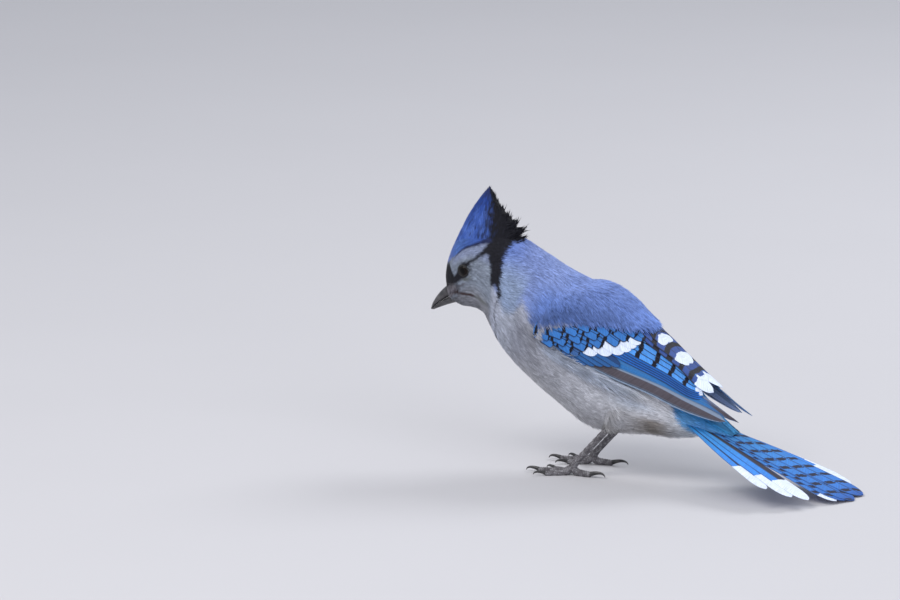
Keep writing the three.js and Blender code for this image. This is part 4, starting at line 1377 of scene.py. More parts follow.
@dataclass
class Skin:
    """One skin over the head, neck, torso and thighs, inside the coat."""

    rings: int = 260
    sides: int = 160
    depth: Path = ((0, 0.45), (2, 0.7), (5, 1.0), (8, 1.3), (14, 1.4), (15.4, 2.2), (17, 4.2))
    thigh_top: Triple = (-2, -15, 47)
    ankle: Triple = (-10.5, -14, 30)
    thigh_radii: tuple[float, ...] = (8.4, 7.4, 6.0, 4.6, 3.5, 2.6)
    thigh_end: float = 1.08
    thigh_rings: int = 26
    thigh_sides: int = 28
    thigh_inside: float = 0.86
    thigh_upper: Colour = (0.68, 0.68, 0.72)
    # The thigh's lower end is painted darker and greyer, as shade under the belly.
    thigh_lower: Colour = (0.50, 0.49, 0.50)
    thigh_lie: Triple = (0.86, 0.0, -0.5)
    thigh_rib: float = 20.0
    socket: float = 3.0
    socket_depth: float = 1.6
    shown: float = 0.55
    steepest: float = 1.2
    degree_mm: float = 0.45
    tail_rib: float = 16
    body_patch: Box = (0.005, 0.005, 0.995, 0.84)
    thigh_patch: Box = (0.01, 0.86, 0.24, 0.99)
    other_patch: Box = (0.26, 0.86, 0.49, 0.99)

    def body(self) -> Shape:
        """The body's shell, with the coat's values at each point."""
        grid_u, signed = round_grid(BODY_SURFACE, self.rings, self.sides)
        outer = BODY_SURFACE.at(grid_u, signed)
        grid = BODY_SURFACE.at(grid_u, signed, -through(self.depth, grid_u))
        _, _, wing_out = WING_SURFACE.axes(grid_u - WING_FIRST_RIB, signed)
        raised = WING_SURFACE.at(grid_u - WING_FIRST_RIB, signed) + wing_out * PLUMAGE.arm_height
        grid = lerp(grid, raised, PLUMAGE.arm(grid_u, np.degrees(np.abs(signed)))[..., None])
        for side in Side:
            middle, out = Eyes().seat(side)
            away = np.linalg.norm(outer - (middle + out * Eyes.radius), axis=-1)
            sunk = self.socket_depth * rise(self.socket + 0.8, self.socket - 0.6, away)
            grid = grid - out * sunk[..., None]
        shape = tube_shape(grid, self.body_patch)
        shape.values = {k: with_caps(v) for k, v in self.coat_values(grid_u, signed, outer).items()}
        return shape

    def coat_values(self, u: Array, angle: Array, outer: Array) -> dict[str, Array]:
        """What the skin and the coat read at each point of the skin.

        Args:
            u: Places along the body, in ribs, as (rings, sides).
            angle: Signed angles from the back, in radians.
            outer: The coat's outer surface there.

        Returns:
            Named values for each point.
        """
        degrees = np.degrees(np.abs(angle))
        along, down, _ = BODY_SURFACE.axes(u, angle)
        turn = np.radians(PLUMAGE.lie(u, degrees))
        per_rib, per_degree = BODY_SURFACE.speeds(u, angle)
        sizes = PLUMAGE.sizes(u, degrees)
        shown = sizes["reach"] / MM * self.shown
        ahead_u = np.clip(u + shown * np.cos(turn) / per_rib, 0, BODY_SURFACE.last)
        ahead_a = np.abs(degrees + shown * np.sin(turn) / per_degree)
        ahead_a = np.where(ahead_a > 180, 360 - ahead_a, ahead_a)
        ahead = BODY_SURFACE.at(ahead_u, np.radians(ahead_a) * np.where(angle < 0, -1, 1))
        step = BODY_SURFACE.last / (self.rings - 1)
        length = np.cumsum(per_rib, 0) * step
        drift = np.cumsum(np.tan(np.clip(turn, -self.steepest, self.steepest)) * per_rib, 0) * step
        across = degrees * self.degree_mm - drift * (u < self.tail_rib)
        return {
            "tint": self.flat_tint(u, degrees, outer),
            "tint_ahead": self.flat_tint(ahead_u, ahead_a, ahead),
            "lie": unit(along * np.cos(turn)[..., None] + down * np.sin(turn)[..., None]),
            "place": np.stack([u, degrees, np.sign(angle)], -1),
            "flow": np.stack([length, across, 40 * np.sign(angle)], -1),
            **sizes,
        }

    def flat_tint(self, u: Array, degrees: Array, points: Array) -> Array:
        """The coat's colour over a grid of places."""
        tint = PLUMAGE.tint(u.ravel(), degrees.ravel(), points.reshape(-1, 3))
        return tint.reshape(*u.shape, 4)

    def thigh(self, side: Side) -> Shape:
        """A feathered thigh, from inside the belly to the bare shank."""
        top, ankle = np.array(self.thigh_top, float), np.array(self.ankle, float)
        end = self.thigh_end
        t, turn = np.linspace(0, end, self.thigh_rings), full_circle(self.thigh_sides)
        radii = np.interp(t, np.linspace(0, end, len(self.thigh_radii)), self.thigh_radii)
        axis = unit(ankle - top)
        across = unit(np.cross([0, 1, 0], axis))
        ring = circle(across[None], np.cross(axis, across)[None], turn)
        middles = top + (ankle - top) * t[:, None]
        grid = middles[:, None] + ring[None] * radii[:, None, None] * self.thigh_inside
        shape = tube_shape(grid, self.thigh_patch if side is Side.LEFT else self.other_patch)
        count = len(shape.points)
        low = np.repeat(np.concatenate([[0] * CAP_ROWS, t, [end] * CAP_ROWS]), len(turn))
        round_it = np.tile(turn, len(t) + 2 * CAP_ROWS)
        # Painted shade darkens the thigh towards the ankle.
        tint = toward(np.array(self.thigh_upper), self.thigh_lower, rise(0.6, 1.0, low))
        tint = tint * (1 + 0.1 * ripple(shape.points, 4.0, 31))[:, None]
        tint = np.concatenate([tint, np.ones((count, 1))], 1)
        flat_side = np.full(count, float(side.value))
        shape.values = {
            "tint": tint,
            "tint_ahead": tint,
            "lie": np.repeat(unit(np.array(self.thigh_lie))[None], count, 0),
            "place": np.stack([np.full(count, self.thigh_rib), low * 90, flat_side], 1),
            "flow": np.stack([low * 20, round_it * 5, np.full(count, 90.0)], 1),
            "reach": lerp(8.0, 5.0, rise(0.4, 1.0, low)) * MM,
            "breadth": np.full(count, 0.42) * MM,
            "lift": np.radians(lerp(12.0, 10.0, rise(0.4, 1.0, low))),
            "thick": np.full(count, 5.5) * rise(0.1, 0.4, low),
            "loose": np.full(count, 2.0),
        }
        return shape if side is Side.LEFT else reflected(shape)

    def build(self) -> Object:
        """Makes the skin and dresses it."""
        shape = joined([self.body(), self.thigh(Side.LEFT), self.thigh(Side.RIGHT), Crest().core()])
        stands_for = ("head", "neck", "torso", "thigh_left", "thigh_right")
        return add_piece("skin", shape, SkinFinish().make(), stands_for)


def round_grid(surface: RibSurface, rings: int, sides: int) -> tuple[Array, Array]:
    """Places all over a surface: their ribs, and their angles from the top, negative on the right."""
    u, turn = np.linspace(0, surface.last, rings), full_circle(sides)
    grid_u, grid_a = np.meshgrid(u, turn, indexing="ij")
    return grid_u, np.where(grid_a > math.pi, grid_a - TURN, grid_a)


def with_caps(grid: Array) -> Array:
    """A grid's values, one for each point, with its end rows repeated for the closed ends."""
    whole = np.concatenate([grid[:1]] * CAP_ROWS + [grid] + [grid[-1:]] * CAP_ROWS)
    return whole.reshape(-1, *whole.shape[2:])


def reflected(shape: Shape) -> Shape:
    """A left-hand skin and its lie on the right."""
    lie = shape.values["lie"] * [1, -1, 1]
    shape = shape.mirrored()
    shape.values["lie"] = lie
    return shape


# The coat


class CoatTree:
    """Geometry Nodes that set tufts on a skin along its lie."""

    softness: float = 0.75
    clump_scale: float = 210.0
    clump_share: float = 1.6
    lift_range: Pair = (0.6, 1.4)
    length_range: Pair = (0.72, 1.2)
    width_range: Pair = (0.7, 1.3)
    kinds: dict[str, str] = {
        "Geometry": "Geometry",
        "Tuft": "Object",
        "Zone": "Int",
        "Seed": "Int",
        "Density": "Float",
        "Stray": "Float",
        "Finish": "Material",
    }
    spent = ("root", "lie", "reach", "breadth", "lift", "thick", "loose", "zone", "place", "tint_ahead")

    def __init__(self) -> None:
        """Builds the tree with its named inputs."""
        self.tree = bpy.data.node_groups.new("Coat of tufts", "GeometryNodeTree")
        face = self.tree.interface
        for label, kind in self.kinds.items():
            face.new_socket(label, in_out="INPUT", socket_type=f"NodeSocket{kind}")
        face.new_socket("Geometry", in_out="OUTPUT", socket_type="NodeSocketGeometry")
        self.sockets = {s.name: s.identifier for s in face.items_tree if s.in_out == "INPUT"}
        self.nodes = Nodes(self.tree)
        self.given = self.nodes.add("NodeGroupInput").outputs
        made = self.nodes.add("NodeGroupOutput")
        self.nodes.set(made, Geometry=self.finished(self.placed(self.scattered())))

    def named(self, name: str, kind: str = "FLOAT") -> Socket:
        """A stored value of the skin."""
        node = self.nodes.add("GeometryNodeInputNamedAttribute", {"data_type": kind}, Name=name)
        return self.nodes.out(node, "Attribute")

    def on(self, kind: str, geometry: object, **inputs: object) -> Socket:
        """What a node makes of what is being made."""
        return self.nodes.add(f"GeometryNode{kind}", Geometry=geometry, **inputs).outputs[0]

    def store(self, geometry: object, name: str, kind: str, value: object, domain: str = "POINT") -> Socket:
        """Stores a value on what is being made."""
        settings = {"data_type": kind, "domain": domain}
        inputs = {"Geometry": geometry, "Name": name, "Value": value}
        return self.nodes.add("GeometryNodeStoreNamedAttribute", settings, **inputs).outputs[0]

    def random(self, low: object, high: object, more: int = 0, kind: str = "FLOAT") -> Socket:
        """A random value between two limits, from the seed and a number more."""
        seed = self.nodes.plus(self.given["Seed"], more) if more else self.given["Seed"]
        inputs = {"Min": low, "Max": high, "Seed": seed}
        return self.nodes.out(self.nodes.add("FunctionNodeRandomValue", {"data_type": kind}, **inputs))

    def scattered(self) -> tuple[Socket, Socket]:
        """Points over the skin's faces in the zone, with what the tufts keep, and the skin's normal."""
        nodes, given = self.nodes, self.given
        settings = {"data_type": "INT", "operation": "EQUAL"}
        here = nodes.add("FunctionNodeCompare", settings, A=self.named("zone", "INT"), B=given["Zone"])
        density = nodes.times(self.named("thick"), given["Density"])
        inputs = {"Mesh": given["Geometry"], "Selection": here.outputs[0], "Density": density}
        spread = nodes.add("GeometryNodeDistributePointsOnFaces", Seed=given["Seed"], **inputs)
        points = self.store(
            spread.outputs["Points"], "root", "FLOAT_VECTOR", self.named(BAKE_MAP, "FLOAT_VECTOR")
        )
        points = self.on("RemoveAttribute", points, Name=BAKE_MAP)
        points = self.store(points, "shade", "FLOAT", self.random(0.0, 1.0))
        points = self.store(points, "tint", "FLOAT_COLOR", self.named("tint_ahead", "FLOAT_COLOR"))
        return points, spread.outputs["Normal"]

    def direction(self, normal: Socket) -> Socket:
        """The way that a tuft lies, flat on the skin: its lie, led astray by chance and in clumps."""
        nodes = self.nodes
        place = nodes.add("GeometryNodeInputPosition").outputs[0]
        clump = nodes.add("ShaderNodeTexNoise", Vector=place, Scale=self.clump_scale, Detail=1.0)
        clump = nodes.vector("SUBTRACT", clump.outputs["Color"], (0.5, 0.5, 0.5))
        stray = nodes.times(self.given["Stray"], self.named("loose"))
        jitter = self.random((-1.0, -1.0, -1.0), (1.0, 1.0, 1.0), 1, "FLOAT_VECTOR")
        lie = nodes.vector("ADD", self.named("lie", "FLOAT_VECTOR"), nodes.scaled(jitter, stray))
        lie = nodes.vector("ADD", lie, nodes.scaled(clump, nodes.times(stray, self.clump_share)))
        flat = nodes.vector("SUBTRACT", lie, nodes.scaled(normal, nodes.dot(lie, normal)))
        return nodes.vector("NORMALIZE", flat)

    def placed(self, scattered: tuple[Socket, Socket]) -> Socket:
        """A tuft on each point, lifted off the skin and scaled to its own length and width."""
        nodes, (points, normal) = self.nodes, scattered
        flat = self.direction(normal)
        lift = nodes.times(self.named("lift"), self.random(*self.lift_range, 2))
        sine, cosine = nodes.math("SINE", lift), nodes.math("COSINE", lift)
        ahead = nodes.vector("ADD", nodes.scaled(flat, cosine), nodes.scaled(normal, sine))
        up = nodes.vector("SUBTRACT", nodes.scaled(normal, cosine), nodes.scaled(flat, sine))
        points = self.store(points, "up", "FLOAT_VECTOR", up)
        settings = {"primary_axis": "Z", "secondary_axis": "Y"}
        turned = nodes.add("FunctionNodeAxesToRotation", settings, Primary_Axis=up, Secondary_Axis=ahead)
        length = nodes.times(self.named("reach"), self.random(*self.length_range, 3))
        width = nodes.times(self.named("breadth"), self.random(*self.width_range, 4))
        return nodes.add(
            "GeometryNodeInstanceOnPoints",
            Points=points,
            Instance=nodes.add("GeometryNodeObjectInfo", Object=self.given["Tuft"]).outputs["Geometry"],
            Rotation=turned.outputs[0],
            Scale=nodes.combine(width, length, length),
        ).outputs[0]

    def finished(self, tufts: Socket) -> Socket:
        """The tufts as one mesh, smooth, with its bake map and finish and without what is spent."""
        whole = self.on("RealizeInstances", tufts)
        patch = self.nodes.scaled(self.named("leaf", "FLOAT_VECTOR"), TUFT_PATCH)
        map_at = self.nodes.vector("ADD", self.named("root", "FLOAT_VECTOR"), patch)
        whole = self.store(whole, BAKE_MAP, "FLOAT2", map_at, "CORNER")
        for name in self.spent:
            whole = self.on("RemoveAttribute", whole, Name=name)
        whole = self.on("SetShadeSmooth", whole)
        return self.on("SetMaterial", whole, Material=self.given["Finish"])

    def grow(self, name: str, skin: Object, **inputs: object) -> Object:
        """Makes one piece of coat.

        Args:
            name: The piece's name.
            skin: The skin that it grows on.
            inputs: The tree's inputs.

        Returns:
            The piece, a plain mesh.
        """
        carrier = linked(name, skin.data)
        modifier = carrier.modifiers.new("coat", "NODES")
        modifier.node_group = self.tree
        for label, value in inputs.items():
            modifier[self.sockets[label]] = value
        bpy.context.view_layer.update()
        done = carrier.evaluated_get(bpy.context.evaluated_depsgraph_get())
        mesh = bpy.data.meshes.new_from_object(done)
        mesh.name = name
        carrier.modifiers.remove(modifier)
        carrier.data = mesh
        self.soften(mesh)
        return carrier

    def soften(self, mesh: Mesh) -> None:
        """Turns each tuft's shading towards its root's, so that the coat is lit as one soft surface."""
        up = read_values(mesh.attributes["up"].data, "vector", len(mesh.vertices) * 3)
        own = read_values(mesh.vertex_normals, "vector", len(up))
        mesh.attributes.remove(mesh.attributes["up"])
        mesh.normals_split_custom_set_from_vertices(unit(lerp(own, up, self.softness).reshape(-1, 3)))


@dataclass
class Coat:
    """The small feathers of the body, in bands from the bill to the tail."""

    bands: tuple[tuple[str, float, str], ...] = (
        ("face", 0.0, "face_feather"),
        ("cheek", 2.6, "face_feather"),
        ("crown", 3.7, "crest_feather"),
        ("collar", 4.8, "crest_feather"),
        ("nape", 5.8, "mantle_feather"),
        ("neck", 6.7, "mantle_feather"),
        ("shoulders", 7.6, "mantle_feather"),
        ("chest", 8.4, "breast_feather"),
        ("breast", 9.3, "breast_feather"),
        ("flanks", 10.4, "breast_feather"),
        ("belly", 11.6, "breast_feather"),
        ("rump", 13.4, "breast_feather"),
        ("thighs", 17.1, "breast_feather"),
        ("crest", 21.0, "crest_feather"),
    )
    stray: float = 0.10
    seed: int = 40
    seed_step: int = 10
    density: float = 1e6
    quick_share: float = 0.25
    stations: tuple[tuple[float, ...], ...] = ((0.0, 0.5, -0.02, 0.02), (0.46, 1.0, 0.055, 0.03))

    def tuft(self) -> Object:
        """One tuft: a slim bent blade with a ridge, one unit long and wide, its root at the origin."""
        points, leaf = [], []
        for y, wide, z, ridge in self.stations:
            points += [(-wide / 2, y, z), (wide / 2, y, z), (0, y, z + ridge)]
            leaf += [(-wide / 2, y, 0), (wide / 2, y, 0), (0, y, 0)]
        tip = (0, 1, 0)
        faces = [(0, 1, 2), (3, 6, 4), (4, 6, 5), (5, 6, 3)]
        for a, b in ((0, 1), (1, 2), (2, 0)):
            faces += [(a, a + 3, b + 3), (a, b + 3, b)]
        corners = np.zeros((len(faces), 3, 2))
        shape = Shape(np.array([*points, tip], float), np.array(faces), corners).outward()
        mesh = bpy.data.meshes.new("tuft")
        mesh.from_pydata(shape.points.tolist(), [], shape.faces.tolist())
        write_values(mesh, {"leaf": np.array([*leaf, tip], float)})
        return linked("tuft", mesh)

    def mark_bands(self, skin: Object) -> None:
        """Writes each face's band on the skin."""
        mesh = skin.data
        ribs = read_values(mesh.attributes["place"].data, "vector", len(mesh.vertices) * 3)[::3]
        first = read_values(mesh.polygons, "loop_start", len(mesh.polygons), np.int32)
        corner = read_values(mesh.loops, "vertex_index", len(mesh.loops), np.int32)
        starts = [start for _, start, _ in self.bands[1:]]
        bands = np.digitize(ribs[corner[first]], starts).astype(np.int32)
        write_values(mesh, {"zone": bands}, "FACE")

    def build(self, skin: Object) -> None:
        """Grows every band of the coat on the skin."""
        self.mark_bands(skin)
        tree = CoatTree()
        shared = {
            "Tuft": self.tuft(),
            "Finish": CoatFinish().make(),
            "Density": self.density * 1.0,
            "Stray": self.stray,
        }
        for index, (label, _, slot) in enumerate(self.bands):
            name = f"coat_{label}"
            seed = self.seed + self.seed_step * index + len(name)
            settle(tree.grow(name, skin, Zone=index, Seed=seed, **shared))
        bpy.data.objects.remove(shared["Tuft"])


# Large feathers


# The large feathers' underside: the grey underwing, painted much paler than it is as painted light, so that
# the far wing's shaded inner side looks lit.
UNDERSIDE_PAINTED_LIGHT: Colour = (0.50, 0.57, 0.78)
BROWN_GREY: Colour = (0.085, 0.074, 0.09)


@dataclass(frozen=True)
class Pattern:
    """A large feather's colours and marks: web colours, bar spacing and share, and pale tip."""

    outer: Colour
    inner: Colour
    period: float = 0.0
    share: float = 0.3
    pale_tip: float = 0.0
    rim: Colour = (0.02, 0.02, 0.035)
    slant: float = 0.0
    shaft: float = 0.0
    worn: float = 2.0
    worn_fade: float = 0.14

    def values(self, s: Array, q: Array, length: float, number: float) -> dict[str, Array]:
        """What a large feather's finish reads, for both faces of its plate.

        Args:
            s: Shares of the length.
            q: Shares of the half width, from the outer edge.
            length: The feather's length in millimetres.
            number: Which of its kind it is, for what differs by chance.

        Returns:
            Named values for each point.
        """
        grid_s, grid_q = np.meshgrid(s, q, indexing="ij")
        one = [(1 - grid_s) * length, grid_q + self.shaft, np.full_like(grid_s, number)]
        one = np.stack(one, -1).reshape(-1, 3)
        count = len(one)
        worn = rise(self.worn, self.worn + self.worn_fade, grid_s).ravel()
        # The lower faces take the underside colour, which carries painted light.
        below = np.repeat(np.array([UNDERSIDE_PAINTED_LIGHT]), count, 0)
        webs = {}
        for label, colour in (("web_outer", self.outer), ("web_inner", self.inner)):
            above = toward(np.array(colour), BROWN_GREY, worn)
            webs[label] = np.concatenate([np.concatenate([above, below]), np.ones((2 * count, 1))], 1)
        marks = np.array([[self.pale_tip, self.period, self.share]])
        return {
            "vane": np.concatenate([one, one]),
            "marks": np.concatenate([np.repeat(marks, count, 0), np.repeat(marks * [1, 0, 1], count, 0)]),
            "slant": np.full(2 * count, self.slant),
            "rim": np.repeat(np.array([[*self.rim, 1.0]]), 2 * count, 0),
            **webs,
        }


class Outline(Enum):
    """A feather's outline, as (root width, where it is full, where its tip starts, how blunt it is)."""

    LONG = (0.6, 0.4, 0.8, 2.6)
    POINTED = (0.6, 0.35, 0.6, 1.7)
    ROUND = (0.55, 0.45, 0.72, 2.3)
    BROAD = (0.7, 0.3, 0.84, 3.0)
    TAIL = (0.34, 0.62, 0.86, 2.4)

    def width(self, s: Array) -> Array:
        """The width's share at shares of the length."""
        root, full, tip, blunt = self.value
        end_power = 0.62
        grown = lerp(root, 1.0, rise(0, full, s))
        past = np.clip((s - tip) / (1 - tip), 0, 1)
        return grown * np.clip(1 - past**blunt, 0, 1) ** end_power


@dataclass(frozen=True)
class Course:
    """Where a feather's middle runs, in shares off its own place: at its root, midway and at its tip."""

    lean: float = 0.0
    swell: float = 0.0
    bend: float = 0.0
    power: float = 3.0

    def at(self, s: Array) -> Array:
        """The way off its own place at shares of the length."""
        return self.lean * (1 - s) + self.swell * s**2 + self.bend * s**self.power


# Wings


@dataclass
class Rank:
    """One layer of feathers on the wing, from its lower edge to its upper edge."""

    shares: Sequence[float]
    ends: Sequence[float]
    lengths: Sequence[float]
    widths: Sequence[float]
    patterns: Sequence[Pattern]
    outline: Sequence[Outline]
    tier: float
    courses: Sequence[Course]
    levels: Sequence[float] = ()
    rise: float = 0.035
    margin: float = 0.1
    margin_slope: float = 4

    def height(self, own: int, share: Array, step: float) -> Array:
        """A feather's height over the wing at shares across it: each lies over the one below it."""
        levels = list(self.levels) or list(range(len(self.shares)))
        index = np.interp(share, self.shares, levels)
        below, above = (
            np.clip(away, 0, self.margin) * self.margin_slope
            for away in (self.shares[0] - share, share - self.shares[-1])
        )
        return self.tier + step * (levels[own] - (index - below + above)) + self.rise * own


@dataclass
class Wing:
    """A folded wing, feather by feather."""

    step: float = 0.3
    thick: float = 0.18
    camber: float = 0.16
    sink: float = 2.6
    stations: int = 30
    across: int = 8
    seed: int = 7
    map_columns: int = 9
    slope_step: float = 0.05
    sharp: float = 50
    bright: Colour = (0.018, 0.13, 0.48)
    sky: Colour = (0.075, 0.28, 0.72)
    deep: Colour = (0.03, 0.075, 0.28)
    edged: Colour = (0.24, 0.31, 0.43)
    primary_tips: Sequence[float] = (8.75, 9.05, 9.15, 9.2, 9.2, 9.1, 9.0, 8.9, 8.8)
    primary_shares: Sequence[float] = (0.17, 0.285, 0.31, 0.335, 0.36, 0.38, 0.39, 0.40, 0.41)
    secondary_tips: Sequence[float] = (7.6, 7.55, 7.5, 7.45, 7.4, 7.35, 7.25, 7.1)
    secondary_shares: Sequence[float] = (0.415, 0.455, 0.495, 0.535, 0.585, 0.695, 0.805, 0.915)
    tertial_tips: Sequence[float] = (7.75, 6.3, 5.2)
    tertial_shares: Sequence[float] = (0.98, 1.08, 1.2)
    tertial_bends: Sequence[float] = (-0.23, -0.06, -0.02)
    tertial_pale: Sequence[float] = (13.5, 10.5, 7.0)
    tip_share: float = 0.21
    strip_lean: float = -0.1
    strip_swell: float = 0.13
    strip_power: float = 8.0
    flight_widths: Sequence[float] = (11.0, *[4.4] * 8, *[7.4] * 8, *[13.0] * 3)
    root_ribs: Pair = (2.7, 4.5)
    root_cover: float = 0.45
    covert_lean: float = 0.12
    row_step: float = 0.5
    greater_edge: Path = ((0.1, 3.0), (0.18, 3.3), (0.27, 3.85), (0.47, 4.45), (0.68, 4.6), (0.9, 4.65))
    median_edge: Path = ((0.1, 2.85), (0.2, 3.1), (0.37, 3.53), (0.57, 4.08), (0.73, 4.22), (0.9, 4.4))
    white_tips: Sequence[float] = (0.0, 9.0, 11.5, 13.0, 12.5, 11.0, 8.0, 0.0)
    covert: Pattern = Pattern((0.042, 0.18, 0.52), (0.042, 0.18, 0.52), 9.0, 0.21)
    dull: Pattern = Pattern((0.045, 0.12, 0.32), (0.045, 0.12, 0.32), 7.0, 0.2, rim=(0.12, 0.2, 0.34))
    strip: Pattern = Pattern((0.03, 0.12, 0.34), (0.02, 0.06, 0.18))

    def angle(self, u: Array, share: Array | float) -> Array:
        """The angle at a share of the way from the lower to the upper edge."""
        return np.radians(lerp(through(WING_LOWER, u), through(WING_UPPER, u), share))

    def spread(self, u: Array, centre: Array, half: Array, q: Array) -> tuple[Array, Array, Array]:
        """Lays a feather's width out on the wing.

        Args:
            u: Where its middle runs, in ribs.
            centre: Where its middle runs, as a share across the wing.
            half: Its half width at each place.
            q: Shares of the half width.

        Returns:
            Its middle's points, and for each place on it the rib and the angle.
        """
        angle, step = self.angle(u, centre), self.slope_step
        here = WING_SURFACE.at(u, angle)
        ahead = unit(WING_SURFACE.at(u + step, self.angle(u + step, centre)) - here)
        across = unit(np.cross(WING_SURFACE.axes(u, angle)[2], ahead))
        along = (WING_SURFACE.at(u + step, angle) - here) / step
        turned = (WING_SURFACE.at(u, angle + step) - here) / step
        shift = across[:, None] * (q[None] * half[:, None])[..., None]
        pairs = ((along, along), (along, turned), (turned, turned))
        uu, ua, aa = ((first * second).sum(-1)[:, None] for first, second in pairs)
        su, sa = ((shift * way[:, None]).sum(-1) for way in (along, turned))
        det = uu * aa - ua * ua
        du, da = (su * aa - sa * ua) / det, (sa * uu - su * ua) / det
        return here, u[:, None] + du, angle[:, None] + da

    def vane(self, rank: Rank, own: int, cell: tuple, number: float) -> Shape:
        """One feather of a rank, laid on the wing's surface."""
        s = np.linspace(0, 1, self.stations + 1)
        q = np.linspace(-1, 1, self.across + 1)
        u = lerp(rank.ends[own] - rank.lengths[own], rank.ends[own], s)
        course = rank.courses[own].at(s)
        half = rank.outline[own].width(s) * rank.widths[own] / 2
        here, at_u, at_a = self.spread(u, rank.shares[own] + course, half, q)
        lower, upper = (np.radians(through(edge, at_u)) for edge in (WING_LOWER, WING_UPPER))
        share = (lower - at_a) / (lower - upper)
        camber = self.camber * (1 - q[None] ** 2)
        buried = self.sink * rise(0.3, 0.0, s)[:, None] if rank.tier else 0.0
        height = rank.height(own, share - course[:, None], self.step) + camber - buried
        base, normal = WING_SURFACE.at(at_u, at_a), WING_SURFACE.axes(at_u, at_a)[2]
        top, bottom = (base + normal * (height + k * self.thick / 2)[..., None] for k in (1, -1))
        shape = plate_shape(top, bottom, cell)
        span_mm = float(np.linalg.norm(np.diff(here, axis=0), axis=1).sum())
        shape.values = rank.patterns[own].values(s, q, span_mm, number)
        return shape

    def flight_patterns(self) -> list[Pattern]:
        """The colours and marks of the primaries, secondaries and tertials."""
        primary = Pattern((0.022, 0.15, 0.43), (0.18, 0.23, 0.38), rim=(0.06, 0.19, 0.42), worn=0.76)
        outermost = Pattern(self.edged, BROWN_GREY, rim=self.edged, shaft=0.82)
        second = Pattern((0.05, 0.16, 0.36), BROWN_GREY, rim=(0.15, 0.22, 0.33), worn=0.7)
        plain = Pattern(self.bright, (0.15, 0.19, 0.33))
        tipped = replace(plain, pale_tip=3.0)
        barred = Pattern(self.sky, (0.17, 0.21, 0.35), 10.4, 0.25, 5.0)
        tertials = [Pattern(self.deep, self.deep, 8.6, 0.42, tip) for tip in self.tertial_pale]
        return [outermost, second, *[primary] * 7, *[plain] * 2, *[tipped] * 2, *[barred] * 4, *tertials]

    def flight(self) -> Rank:
        """The primaries, secondaries and tertials."""
        swell, tip = self.strip_swell, self.tip_share
        strips = [
            Course(self.strip_lean, swell, tip - swell - share, self.strip_power)
            for share in self.primary_shares[1:]
        ]
        shares = [*self.primary_shares, *self.secondary_shares, *self.tertial_shares]
        ends = [*self.primary_tips, *self.secondary_tips, *self.tertial_tips]
        starts = [lerp(*self.root_ribs, share) - self.root_cover for share in shares]
        return Rank(
            shares=shares,
            ends=ends,
            lengths=[end - start for end, start in zip(ends, starts)],
            widths=self.flight_widths,
            patterns=self.flight_patterns(),
            outline=[Outline.POINTED] * 9 + [Outline.LONG] * 8 + [Outline.ROUND] * 3,
            tier=0.0,
            courses=[
                *[Course(-0.06, 0.0, -0.08), *strips, *[Course()] * 8],
                *[Course(bend=bend) for bend in self.tertial_bends],
            ],
            levels=[0.0, *np.linspace(0.6, 2.0, 8), *(np.arange(8) + 2.4), 10.6, 11.8, 13.0],
        )

    def covert_rank(
        self,
        shares: Sequence[float],
        ends: Sequence[float],
        size: Pair,
        tier: float,
        patterns: Sequence[Pattern],
        outline: Outline = Outline.BROAD,
    ) -> Rank:
        """A rank of like coverts.

        Args:
            shares: Where they lie, from the lower to the upper edge.
            ends: Where their tips are, in ribs.
            size: Their length in ribs and their width in millimetres.
            tier: The rank's height over the wing.
            patterns: Their colours and marks, or one for all.
            outline: Their outline.

        Returns:
            The rank.
        """
        count = len(shares)
        patterns = list(patterns) * (count // len(patterns))
        like = ([value] * count for value in (*size, outline, Course(lean=self.covert_lean)))
        lengths, widths, outlines, courses = like
        return Rank(shares, ends, lengths, widths, patterns, outlines, tier, courses)

    def ranks(self) -> list[Rank]:
        """Every layer, from the lowest."""
        banded = [replace(self.covert, pale_tip=tip) for tip in self.white_tips]
        greater = np.linspace(0.14, 0.84, len(self.white_tips))
        median, lesser = np.linspace(0.14, 0.86, 6), np.linspace(0.10, 0.80, 6)
        least = np.linspace(0.22, 0.62, 4)
        edge, row, plain = self.median_edge, self.row_step, [self.covert]
        low, low_ends = np.linspace(0.01, 0.21, 5), np.linspace(3.55, 4.5, 5)
        ends = through(self.greater_edge, greater)
        return [
            self.flight(),
            self.covert_rank(low, low_ends, (1.6, 5.0), 0.7, [self.strip], Outline.LONG),
            self.covert_rank(greater, ends, (1.4, 7.6), 1.1, banded, Outline.ROUND),
            self.covert_rank([0.05, 0.12], [3.0, 3.2], (0.95, 6.0), 1.1, [self.dull], Outline.ROUND),
            self.covert_rank(median, through(edge, median), (1.1, 8.0), 1.6, plain),
            self.covert_rank(lesser, through(edge, lesser) - row, (1.0, 8.0), 2.0, plain),
            self.covert_rank(least, through(edge, least) - 2 * row, (0.85, 7.6), 2.3, plain),
        ]

    def build(self, side: Side, finish: Material) -> None:
        """Makes the wing on one side."""
        draw = np.random.default_rng(self.seed)
        ranks = self.ranks()
        places = iter(cells(sum(len(rank.shares) for rank in ranks), self.map_columns))
        shapes = {"flight": [], "coverts": []}
        for number, rank in enumerate(ranks):
            label, most = ("coverts", 0.5) if number else ("flight", 4.0)
            for own in range(len(rank.shares)):
                shape = self.vane(rank, own, next(places), float(draw.uniform(0, most)))
                shapes[label].append(shape.on(side))
        for label, stands_for in (("flight", [f"wing_{side.label}"]), ("coverts", [])):
            shape = joined(shapes[label])
            name = f"wing_{label}_{side.label}"
            add_piece(name, shape, finish, stands_for, self.sharp)


# The tail


